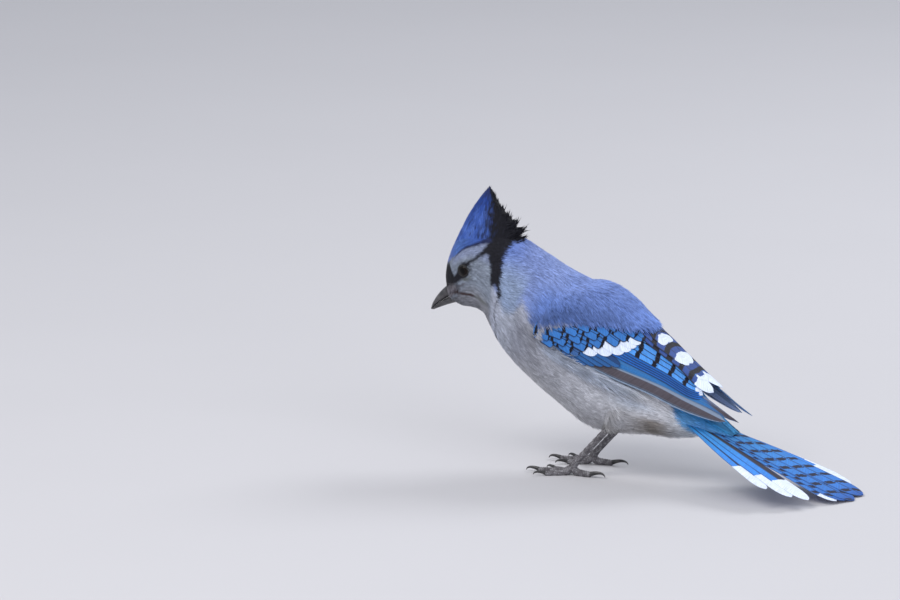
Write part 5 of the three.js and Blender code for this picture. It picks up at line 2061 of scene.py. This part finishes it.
@dataclass
class Tail:
    """Twelve tail feathers in a fan, the middle pair on top."""

    pivot: Triple = (18, 0, 43.4)
    slope: float = 20.3
    lengths: tuple[float, ...] = (124, 121, 119, 113, 108, 98)
    spread_left: tuple[float, ...] = (4.4, 7.2, 10.0, 19.4, 24, 30)
    spread_right: tuple[float, ...] = (-1.4, -2.4, -3.2, -8.0, -9.8, -11.6)
    start: float = 14
    widths: tuple[float, ...] = (17.0, 15.0, 13.0, 12.4, 11.5, 9.6)
    step: float = 0.42
    thick: float = 0.2
    camber: float = 0.2
    ridge: float = 0.1
    ridge_width: float = 0.12
    floor_gap: float = 0.02
    sharp: float = 50
    slant: float = 3.6
    inner_blue: Colour = (0.03, 0.19, 0.56)
    outer_blue: Colour = (0.035, 0.24, 0.72)
    outer_dark: Colour = (0.025, 0.02, 0.035)
    rim: Colour = (0.03, 0.12, 0.38)
    barred_pairs: int = 3
    period: float = 10.2
    bar_share: float = 0.32
    pale_tips: tuple[float, ...] = (0.0, 0.0, 10.0, 24.0, 26.0, 27.0)
    # Factors on the web colours from root to tip: painted shade at the root, where the wings lie over the
    # tail, and a darker tone towards the tip.
    shades: tuple[tuple[float, Colour], ...] = (
        (0.0, (0.6, 0.8, 0.55)),
        (0.3, (0.8, 0.95, 0.8)),
        (0.55, (1.0, 1.0, 1.0)),
        (0.86, (0.9, 0.85, 0.95)),
        (1.0, (0.5, 0.4, 0.6)),
    )
    stations: int = 60
    across: int = 12
    seed: int = 11

    def pattern(self, rank: int, slant: float) -> Pattern:
        """The marks of a feather, plainer and white-tipped towards the outside."""
        barred = rank < self.barred_pairs
        outer, inner = (self.inner_blue,) * 2 if barred else (self.outer_blue, self.outer_dark)
        period = self.period if barred else 0.0
        return Pattern(outer, inner, period, self.bar_share, self.pale_tips[rank], self.rim, slant)

    def vane(self, rank: int, spread: float, lift: float, cell: tuple, number: float) -> Shape:
        """One tail feather."""
        turn, bearing = math.radians(self.slope), math.radians(spread)
        along = np.array([math.cos(turn), 0, -math.sin(turn)])
        up = np.array([math.sin(turn), 0, math.cos(turn)])
        left = np.array([0.0, -1.0, 0.0])
        s = np.linspace(0, 1, self.stations + 1)
        q = np.linspace(-1, 1, self.across + 1)
        length = self.lengths[rank]
        distance = lerp(self.start, length, s)
        wide = Outline.TAIL.width(s)
        ray = along * math.cos(bearing) + left * math.sin(bearing)
        sideways = left * math.cos(bearing) - along * math.sin(bearing)
        middle = np.array(self.pivot) + ray * distance[:, None]
        height = lift - self.step * rank - self.camber * q[None] ** 2 * wide[:, None]
        height = height + self.ridge * hump(q[None], 0, self.ridge_width)
        across = sideways * (q[None] * (self.widths[rank] / 2) * wide[:, None])[..., None]
        base = middle[:, None] + across + up * height[..., None]
        top, bottom = base + up * self.thick / 2, base - up * self.thick / 2
        for face, lowest in ((top, self.floor_gap + self.thick), (bottom, self.floor_gap)):
            face[..., 2] = np.maximum(face[..., 2], lowest)
        shape = plate_shape(top, bottom, cell)
        sign = -1.0 if spread < 0 else 1.0
        pattern = self.pattern(rank, self.slant * sign)
        shape.values = pattern.values(s, -q * sign, length - self.start, number)
        # Multiplies the webs by the painted shade at the root and the darker tone at the tip.
        shade = np.tile(np.repeat(along_table(self.shades, s), len(q), 0), (2, 1))
        for web in ("web_outer", "web_inner"):
            shape.values[web][:, :3] *= shade
        return shape

    def build(self) -> None:
        """Makes the whole tail."""
        finish = VaneFinish("tail_vane", dark=(0.007, 0.011, 0.04), lean=0.6, gap=0.1).make()
        draw = np.random.default_rng(self.seed)
        shapes = []
        places = iter(cells(2 * len(self.lengths), len(self.lengths)))
        for rank, pair in enumerate(zip(self.spread_left, self.spread_right)):
            for spread, lift in zip(pair, (0.0, 0.0 if rank else self.step)):
                shapes.append(self.vane(rank, spread, lift, next(places), float(draw.uniform(0, 4))))
        add_piece("tail_fan", joined(shapes), finish, ["tail"], self.sharp)


# The crest


CREST_SURFACE = RibSurface(
    [
        (-114.2, 118.0, -70.5, 126.0, 12.2, 0.5),
        (-108.8, 129.4, -75.0, 136.0, 9.4, 0.5),
        (-103.0, 140.2, -80.8, 142.2, 6.5, 0.5),
        (-97.2, 148.8, -85.8, 148.4, 3.4, 0.5),
        (-91.8, 155.4, -89.4, 155.0, 0.7, 0.5),
    ]
)


@dataclass
class Crest:
    """The raised crest: a smooth blue front, and black wisps behind it."""

    rings: int = 90
    sides: int = 100
    rib_label: float = 22.0
    depth: Path = ((0, 1.4), (1, 1.2), (2, 0.9), (3, 0.6), (4, 0.15))
    border: Path = ((0, 97), (1, 103), (2, 111), (3, 122), (4, 132))
    lengths: Path = ((0, 4.6), (3, 4.6), (4, 3.0))
    widths: Path = ((0, 0.40), (4, 0.32))
    crowding: float = 6.2
    blue: Colour = (0.045, 0.105, 0.40)
    light_blue: Colour = (0.085, 0.17, 0.53)
    upper_shade: Colour = (0.34, 0.46, 0.64)
    navy: Colour = (0.02, 0.03, 0.11)
    black: Colour = (0.008, 0.008, 0.014)
    patch: Box = (0.51, 0.86, 0.99, 0.99)
    lobes: tuple[tuple[float, float, float, float, int], ...] = (
        (-91.2, 156.4, 3.6, 0.5, 16),
        (-88.6, 154.8, 3.4, 0.6, 20),
        (-86.2, 150.0, 2.9, 1.0, 30),
        (-83.2, 146.8, 2.4, 1.4, 38),
        (-78.8, 143.4, 1.9, 1.6, 48),
        (-73.8, 139.4, 1.4, 1.8, 48),
        (-69.2, 135.4, 0.9, 2.0, 48),
        (-68.0, 131.8, 0.5, 2.0, 32),
    )
    lobe_way: Triple = (-0.62, 0, 0.62)
    lobe_inside: float = 0.3
    wisp_width: float = 0.8
    wisp_widths: Pair = (0.55, 1.1)
    wisp_ribs: Pair = (-0.6, 0.1)
    last_rib: float = 3.8
    wisp_angles: Pair = (128, 176)
    root_depth: float = 1.6
    root_side: float = 0.45
    scatter: float = 0.75
    cut: Pair = (-0.16, 0.28)
    turn_from: Pair = (0.25, 0.1)
    bow: float = 0.05
    sway: Pair = (-0.05, 0.02)
    hollow: float = 0.2
    half_thick: float = 0.06
    wisp: Pattern = Pattern((0.009, 0.009, 0.014), (0.012, 0.012, 0.02))
    columns: int = 11
    sharp: float = 60
    seed: int = 3

    def core(self) -> Shape:
        """The crest's skin, with the coat's values at each point."""
        grid_u, signed = round_grid(CREST_SURFACE, self.rings, self.sides)
        degrees = np.degrees(np.abs(signed))
        shape = tube_shape(CREST_SURFACE.at(grid_u, signed, -through(self.depth, grid_u)), self.patch)
        along, down, _ = CREST_SURFACE.axes(grid_u, signed)
        rear = rise(95, 165, degrees)
        back = np.radians(lerp(2.0, 36.0, rear) * rise(4.0, 3.0, grid_u))
        points = CREST_SURFACE.at(grid_u, signed)
        ones, side = np.ones_like(grid_u), np.sign(signed)
        across = degrees * 0.2 * (1.1 - grid_u / 4)
        values = {
            "tint": self.tint(grid_u, degrees, points),
            "tint_ahead": self.tint(grid_u + 0.18, degrees + 3 * rear, points),
            "lie": unit(along * np.cos(back)[..., None] + down * np.sin(back)[..., None]),
            "place": np.stack([self.rib_label * ones, degrees, side], -1),
            "flow": np.stack([points[..., 2] * 0.8, across, 20 * side], -1),
            "reach": through(self.lengths, grid_u) * MM,
            "breadth": through(self.widths, grid_u) * MM,
            "lift": np.radians(lerp(6.0, 9.0, rise(100, 160, degrees))),
            "thick": self.crowding * ones * rise(0.15, 0.3, grid_u),
            "loose": lerp(0.7, 1.7, rise(100, 150, degrees)),
        }
        shape.values = {k: with_caps(v) for k, v in values.items()}
        return shape

    def tint(self, u: Array, degrees: Array, points: Array) -> Array:
        """The crest's colour: blue before, black behind, navy at the tip."""
        fine = ripple(points.reshape(-1, 3) * [1, 1, 0.22], 1.6, 71).reshape(u.shape)
        broad = ripple(points.reshape(-1, 3) * [1, 1, 0.3], 5.0, 72).reshape(u.shape)
        edge = through(self.border, u) + 17 * fine
        colour = toward(np.array(self.blue), self.light_blue, rise(-0.5, 0.9, broad + 0.5 * fine))
        colour = colour * lerp(1.0, np.array(self.upper_shade), rise(0.8, 3.2, u)[..., None])
        colour = toward(colour, self.navy, rise(0.5, 0.95, fine) * 0.85)
        colour = toward(colour, self.navy, rise(2.9, 3.7, u + 0.35 * fine))
        colour = toward(colour, self.black, rise(-16, 12, degrees - edge))
        return np.concatenate([np.clip(colour, 0, 1), np.ones((*u.shape, 1))], -1)

    def wisp_shape(self, tip: Array, at_rib: float, cell: tuple, draw: np.random.Generator) -> Shape:
        """One slim dark feather that leaves the crest's rear edge for a tuft's tip."""
        u = np.array(np.clip(at_rib + draw.uniform(*self.wisp_ribs), 0.0, self.last_rib))
        angle = np.array(math.radians(draw.uniform(*self.wisp_angles)) * draw.choice([-1, 1]))
        root = CREST_SURFACE.at(u, angle) - CREST_SURFACE.axes(u, angle)[2] * self.root_depth
        scatter = draw.normal(0, self.scatter, 3) * [1, 0.8, 1]
        tip = tip + np.array([0, root[1] * self.root_side, 0]) + scatter
        tip = lerp(tip, root, float(draw.uniform(*self.cut)))
        length = float(np.linalg.norm(tip - root))
        axis = (tip - root) / length
        ahead, above = self.turn_from
        across = unit(np.cross(np.array([ahead, -1.0 if angle > 0 else 1.0, above]), axis))
        face = np.cross(axis, across)
        s, q = np.linspace(0, 1, 11), np.linspace(-1, 1, 3)
        wide = lerp(0.8, 1.0, rise(0, 0.3, s)) * (1 - rise(0.3, 1.0, s) * 0.93)
        width = self.wisp_width * draw.uniform(*self.wisp_widths)
        bow = self.bow * length * np.sin(math.pi * s)
        sway = draw.uniform(*self.sway) * length * s**2
        base = root + axis * (length * s)[:, None] + face * bow[:, None] + across * sway[:, None]
        grid = base[:, None] + across * (q[None] * wide[:, None] * width / 2)[..., None]
        grid = grid - face * (self.hollow * q[None] ** 2 * wide[:, None])[..., None]
        shape = plate_shape(grid + face * self.half_thick, grid - face * self.half_thick, cell)
        shape.values = self.wisp.values(s, q, length, float(draw.uniform()))
        for web in ("web_outer", "web_inner"):
            shape.values[web][:, :3] = self.wisp.outer
        return shape

    def build(self) -> None:
        """Makes the wisps behind the crest."""
        finish = VaneFinish("crest_vane", roughness=0.6).make()
        draw = np.random.default_rng(self.seed)
        places = iter(cells(sum(lobe[-1] for lobe in self.lobes), self.columns))
        shapes = []
        for x, z, rib, spread, count in self.lobes:
            for _ in range(count):
                away = float(draw.uniform(-spread, spread * self.lobe_inside))
                tip = np.array([x, 0.0, z]) + np.array(self.lobe_way) * away
                shapes.append(self.wisp_shape(tip, rib, next(places), draw))
        add_piece("crest_wisps", joined(shapes), finish, ["crest"], self.sharp)


# Bill and eyes


@dataclass
class Bill:
    """The upper and lower halves of the bill."""

    culmen: Path = ((-109.5, 103.4), (-116.0, 98.9), (-120.9, 94.2), (-124.6, 88.9), (-126.3, 84.7))
    mouth: Path = ((-107.0, 95.6), (-113.0, 93.3), (-118.4, 90.3), (-122.9, 87.0), (-125.9, 84.2))
    chin: Path = ((-105.0, 90.8), (-110.8, 89.4), (-116.2, 87.6), (-120.9, 85.7), (-124.3, 84.2))
    half: tuple[float, ...] = (4.9, 4.3, 3.3, 1.9, 0.5)
    upper_ridge: float = -0.25
    lower_ridge: float = 0.2
    gap: float = 0.08
    roundness: float = 0.85
    rings: int = 44
    sides: int = 36
    sharp: float = 70

    def curve(self, points: Sequence[tuple[float, ...]]) -> Array:
        """A smooth line through equally spaced points."""
        padded = [(*point, 0, 0, 0, 0, 0)[:6] for point in points]
        return RibSurface(padded).values(np.linspace(0, len(points) - 1, self.rings))

    def part(self, above: Path, below: Path, ridge: float) -> Shape:
        """One half of the bill."""
        top, low = self.curve(above)[:, :2], self.curve(below)[:, :2]
        half = self.curve([(h,) for h in self.half])[:, 0]
        turn = full_circle(self.sides)
        c, s = np.cos(turn), np.sin(turn)
        share = 0.5 + 0.5 * np.sign(c) * np.abs(c) ** self.roundness
        plane = lerp(low[:, None], top[:, None], share[None, :, None])
        if ridge < 0:
            plane = plane + np.where(c[None, :, None] < 0, unit(top - low)[:, None] * self.gap, 0)
        y = -half[:, None] * s[None] * (1 + ridge * c[None])
        return tube_shape(np.stack([plane[..., 0], y, plane[..., 1]], -1))

    def build(self) -> None:
        """Makes both halves."""
        finish = HornFinish("bill_horn", (0.028, 0.027, 0.032), (0.10, 0.095, 0.10)).make()
        for name, above, below, ridge in (
            ("bill_upper", self.culmen, self.mouth, self.upper_ridge),
            ("bill_lower", self.mouth, self.chin, self.lower_ridge),
        ):
            add_piece(f"{name}_horn", self.part(above, below, ridge), finish, [name], self.sharp)


@dataclass
class Eyes:
    """The eyes and their lids."""

    x: float = -100.5
    z: float = 110.9
    radius: float = 4.6
    bulge: float = 0.8
    pole: float = 0.02
    rings: int = 40
    sides: int = 48
    cornea: float = 0.03
    cornea_angle: float = 0.5
    lid_radius: float = 3.05
    lid_thick: float = 0.5
    lid_steps: int = 64
    lid_sides: int = 12
    lid_forward: Triple = (-1.0, 0, -0.25)
    lid_long: float = 0.1
    lid_top: float = 0.96
    lid_wide: float = 1.25
    beads: int = 26
    bead: float = 0.12
    lid_above: float = 1.15
    lid_below: float = 0.9

    def seat(self, side: Side) -> tuple[Array, Array]:
        """The eyeball's middle and the direction that it looks."""
        place = [np.array(value) for value in BODY_SURFACE.nearest(self.x, self.z)]
        out = BODY_SURFACE.axes(*place)[2]
        mirror = np.array([1, side.value, 1])
        return (BODY_SURFACE.at(*place) + out * (self.bulge - self.radius)) * mirror, out * mirror

    def ball(self, side: Side) -> Shape:
        """The eyeball, with how far out each place is."""
        middle, out = self.seat(side)
        across = unit(np.cross(out, [0, 0, 1]))
        lat = np.linspace(self.pole, math.pi - self.pole, self.rings)
        ring = circle(across[None], np.cross(out, across)[None], full_circle(self.sides))
        bulge = 1 + self.cornea * hump(lat, 0, self.cornea_angle)
        ahead, aside = np.cos(lat) * bulge, np.sin(lat) * bulge
        grid = out[None, None] * ahead[:, None, None] + ring[None] * aside[:, None, None]
        shape = tube_shape(middle + self.radius * grid)
        away = np.where(np.cos(lat) > 0, np.sin(lat), np.sin(lat) * 0 + 2)
        away = np.concatenate([[0.0] * CAP_ROWS, away, [2.0] * CAP_ROWS])
        shape.values = {"out": np.repeat(away, self.sides) * self.radius / self.lid_radius}
        return shape

    def lid(self, side: Side) -> Shape:
        """The ring of lid round the eye, lower in front and behind."""
        middle, out = self.seat(side)
        forward = np.array(self.lid_forward)
        forward = unit(forward - out * (forward @ out))
        up = np.cross(forward, out)
        up = up * np.sign(up[2])
        rings = []
        for a in full_circle(self.lid_steps):
            above = math.sin(a) > 0
            across_eye = 1 + self.lid_long * abs(math.cos(a)) ** 3
            radius = self.lid_radius * across_eye * (self.lid_top if above else 1.0)
            ray = forward * math.cos(a) + up * math.sin(a)
            centre = middle + ray * radius + out * math.sqrt(max(self.radius**2 - radius**2, 0.1))
            thick = self.lid_thick * (1 + self.bead * math.sin(a * self.beads))
            thick = thick * (self.lid_above if above else self.lid_below)
            rings.append(centre + circle(ray * self.lid_wide, out, full_circle(self.lid_sides)) * thick)
        grid = np.array(rings)
        shape = grid_shape(np.concatenate([grid, grid[:1]]), True, WHOLE_PATCH)
        faces = shape.faces % (self.lid_steps * self.lid_sides)
        return Shape(grid.reshape(-1, 3), faces, shape.corners).outward()

    def build(self) -> None:
        """Makes both eyes and lids."""
        wet = EyeFinish().make()
        rim = ScaleFinish("lid_skin", (0.006, 0.006, 0.007), (0.018, 0.019, 0.019)).make()
        for side in Side:
            add_piece(f"eyeball_{side.label}", self.ball(side), wet, [f"eye_{side.label}"])
            add_piece(f"eyelid_{side.label}", self.lid(side), rim)


# Legs


@dataclass(frozen=True)
class Toe:
    """A toe: its name, its bearing from straight ahead, its length and radius, and its claw's length."""

    name: str
    turn: float
    length: float
    radius: float
    claw: float

    @property
    def way(self) -> Array:
        """The direction that it points."""
        bearing = math.radians(self.turn)
        return np.array([-math.cos(bearing), -math.sin(bearing), 0])


@dataclass
class Legs:
    """Bare shanks, toes and claws."""

    ankle: Triple = (-10.5, -14, 30)
    foot: Triple = (-33, -14.6, 5.2)
    radius: float = 1.95
    toes: tuple[Toe, ...] = (
        Toe("inner", -24, 14.5, 1.65, 7),
        Toe("middle", 3, 20, 1.8, 8),
        Toe("outer", 29, 15.5, 1.65, 7),
        Toe("hind", 174, 11.5, 1.95, 10),
    )
    buried: float = 0.08
    shank_rings: int = 110
    shank_sides: int = 22
    shank_ends: Pair = (0.4, 0.3)
    scutes: int = 9
    toe_rings: int = 80
    toe_sides: int = 20
    toe_taper: Pair = (1.12, 0.82)
    joint_mm: float = 5
    scutes_per_joint: int = 4
    claw_rings: int = 30
    claw_sides: int = 14
    claw_tip: float = 0.14
    claw_inside: float = 0.9
    sharp: float = 60

    def sweep(self, path: Array, radii: Array, sides: int, swell: Callable[[Array, Array], Array]) -> Shape:
        """A round bar along a path.

        Args:
            path: The middles of its rings.
            radii: Its radius at each.
            sides: Points round each ring.
            swell: How much a place stands out, from its ring's share and its angle from the top.

        Returns:
            The closed shape.
        """
        ahead = unit(np.gradient(path, axis=0))
        left = unit(np.cross(np.array([0.0, 0.0, 1.0]), ahead))
        top = np.cross(ahead, left)
        turn = full_circle(sides)
        share = np.linspace(0, 1, len(path))[:, None]
        scale = radii[:, None] * swell(share, turn[None])
        return tube_shape(path[:, None] + circle(top[:, None], left[:, None], turn) * scale[..., None])

    def shank(self) -> Shape:
        """The shank with its scutes as overlapping steps down the front."""
        start, end = np.array(self.ankle, float), np.array(self.foot, float)
        start = lerp(start, end, -self.buried)
        t = np.linspace(0, 1, self.shank_rings)
        path = lerp(start, end, t[:, None])
        at_ankle, at_foot = self.shank_ends
        radii = self.radius * (1 + at_ankle * rise(0.12, 0.0, t) + at_foot * rise(0.86, 1.0, t))

        def swell(share: Array, turn: Array) -> Array:
            """The scutes' steps in front, on a shank that is deeper than wide."""
            front = 0.5 + 0.5 * np.cos(turn)
            step = (share * self.scutes) % 1
            return 1 + front * (0.17 * step - 0.08) - 0.05 * np.cos(2 * turn)

        return self.sweep(path, radii, self.shank_sides, swell)

    def toe(self, toe: Toe) -> Shape:
        """One toe, with pads under it and scutes over it."""
        t = np.linspace(0, 1, self.toe_rings)
        radii = toe.radius * lerp(*self.toe_taper, t)
        drop = np.clip(1 - t / 0.3, 0, 1) ** 1.5
        path = np.array([*self.foot[:2], 0]) + toe.way * (toe.length * t)[:, None]
        path[:, 2] = lerp(radii * 0.9, self.foot[2] - 0.6, drop)
        joints = max(2, round(toe.length / self.joint_mm))

        def swell(share: Array, around: Array) -> Array:
            """Pads below, one for each joint, and fine scutes above."""
            under, over = np.clip(-np.cos(around), 0, 1), np.clip(np.cos(around), 0, 1)
            pads = np.abs(np.sin(share * math.pi * joints)) ** 0.6
            scutes = (share * joints * self.scutes_per_joint) % 1
            return 1 + under * (0.24 * pads - 0.10) + over * (0.15 * scutes - 0.06)

        shape = self.sweep(path, radii, self.toe_sides, swell)
        shape.points[:, 2] = np.maximum(shape.points[:, 2], 0.0)
        return shape

    def claw(self, toe: Toe) -> Shape:
        """A claw, arched down to the floor."""
        s = np.linspace(0, 1, self.claw_rings)
        root = np.array([*self.foot[:2], 0]) + toe.way * (toe.length - self.claw_inside)
        radii = lerp(toe.radius * 0.7, self.claw_tip, s**0.8)
        path = root + toe.way * ((toe.claw * 0.86 + 1.5) * np.sin(s * math.pi / 2))[:, None]
        arch = toe.claw * 0.2 * np.sin(s * math.pi * 0.9) * (1 - s * 0.3)
        path[:, 2] = np.maximum(toe.radius * 0.8 + arch - toe.radius * 0.55 * s**2, radii + 0.05)
        return self.sweep(path, radii, self.claw_sides, lambda share, turn: 1 + 0.12 * np.cos(turn) ** 2)

    def build(self) -> None:
        """Makes both legs."""
        scales = ScaleFinish().make()
        horn = HornFinish("claw_horn", (0.02, 0.019, 0.02), (0.07, 0.066, 0.065), 0.3).make()
        for side in Side:
            for name, shape, node in (
                ("shank", self.shank(), "tarsus"),
                ("toes", joined([self.toe(toe) for toe in self.toes]), "foot"),
            ):
                stands_for = [f"{node}_{side.label}"]
                piece = f"{name}_{side.label}"
                add_piece(piece, shape.on(side), scales, stands_for, self.sharp)
            for toe in self.toes:
                end = f"{toe.name}_{side.label}"
                add_piece(f"nail_{end}", self.claw(toe).on(side), horn, [f"claw_{end}"])


# The studio


@dataclass(frozen=True)
class Lamp:
    """A soft round light."""

    name: str
    place: Triple
    size: float
    power: float
    colour: Colour


@dataclass
class Studio:
    """Floor, soft lights and the camera at the photograph's angle."""

    azimuth: float = 24
    elevation: float = 12
    lens: float = 300
    sensor: float = 36
    clip: Pair = (0.1, 50)
    image: tuple[int, int] = (900, 600)
    pixel_mm: float = 0.56
    foot_pixel: Pair = (637, 468)
    foot_mm: Triple = (0, 0, 4)
    lamps: tuple[Lamp, ...] = (
        Lamp("key", (-0.7, -1.1, 1.7), 1.1, 22, (1.0, 0.98, 0.95)),
        Lamp("fill", (1.3, -0.9, 0.9), 1.2, 9, (0.92, 0.95, 1.0)),
        Lamp("rim", (0.5, 1.3, 1.4), 0.9, 14, (0.95, 0.97, 1.0)),
    )
    lit: Triple = (0, 0, 0.07)
    sky: Box = (0.80, 0.84, 0.92, 1)
    sky_strength: float = 0.70
    floor_sides: float = 8.0
    floor_near: float = -3.0
    floor_far: float = 9.0
    floor_bend: float = 5.0
    floor_rise: float = 0.15
    floor_rows: int = 60
    floor_columns: int = 21

    def camera(self) -> None:
        """Places the camera."""
        az, el = math.radians(self.azimuth), math.radians(self.elevation)
        back = Vector((math.sin(az) * math.cos(el), -math.cos(az) * math.cos(el), math.sin(el)))
        right = Vector((math.cos(az), math.sin(az), 0))
        up = back.cross(right)
        pixel = self.pixel_mm * MM
        foot = Vector(((np.array(self.foot_mm) + FRAME_SHIFT) * MM).tolist())
        across = (self.image[0] / 2 - self.foot_pixel[0]) * pixel
        above = (self.foot_pixel[1] - self.image[1] / 2) * pixel
        target = foot + right * across + up * above
        distance = self.image[0] * pixel * self.lens / self.sensor
        data = bpy.data.cameras.new("camera")
        data.lens, data.sensor_width = self.lens, self.sensor
        data.clip_start, data.clip_end = self.clip
        camera = linked("camera", data)
        camera.location = target + back * distance
        camera.rotation_euler = back.to_track_quat("Z", "Y").to_euler()
        bpy.context.scene.camera = camera

    def light(self, lamp: Lamp) -> None:
        """Adds one soft light that faces the bird."""
        data = bpy.data.lights.new(lamp.name, "AREA")
        data.shape, data.size, data.energy, data.color = "DISK", lamp.size, lamp.power, lamp.colour
        light = linked(lamp.name, data)
        light.location = lamp.place
        way = Vector(lamp.place) - Vector(self.lit)
        light.rotation_euler = way.to_track_quat("Z", "Y").to_euler()

    def floor(self) -> None:
        """Adds the floor, a wide sheet that curves up far behind."""
        x = np.linspace(-self.floor_sides, self.floor_sides, self.floor_columns)
        y = np.linspace(self.floor_near, self.floor_far, self.floor_rows)
        grid_y, grid_x = np.meshgrid(y, x, indexing="ij")
        grid_z = np.maximum(0.0, grid_y - self.floor_bend) ** 2 * self.floor_rise
        shape = grid_shape(np.stack([grid_x, grid_y, grid_z], -1) / MM, False, (0, 0, 1, 1))
        floor = make_object("floor", Shape(shape.points - FRAME_SHIFT, shape.faces, shape.corners))
        floor.data.materials.append(FloorFinish().make())

    def build(self) -> None:
        """Sets everything up."""
        scene = bpy.context.scene
        world = bpy.data.worlds.new("soft_world")
        world.use_nodes = True
        background = world.node_tree.nodes["Background"].inputs
        background["Color"].default_value = self.sky
        background["Strength"].default_value = self.sky_strength
        scene.world = world
        scene.view_settings.view_transform = "Standard"
        self.floor()
        for lamp in self.lamps:
            self.light(lamp)
        self.camera()


def main() -> None:
    """Builds the bird in order."""
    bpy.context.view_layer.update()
    Groups.build()
    Studio().build()
    Coat().build(Skin().build())
    vane = VaneFinish("flight_vane").make()
    for side in Side:
        Wing().build(side, vane)
    for part in (Tail(), Crest(), Bill(), Eyes(), Legs()):
        part.build()


if __name__ == "__main__":
    main()
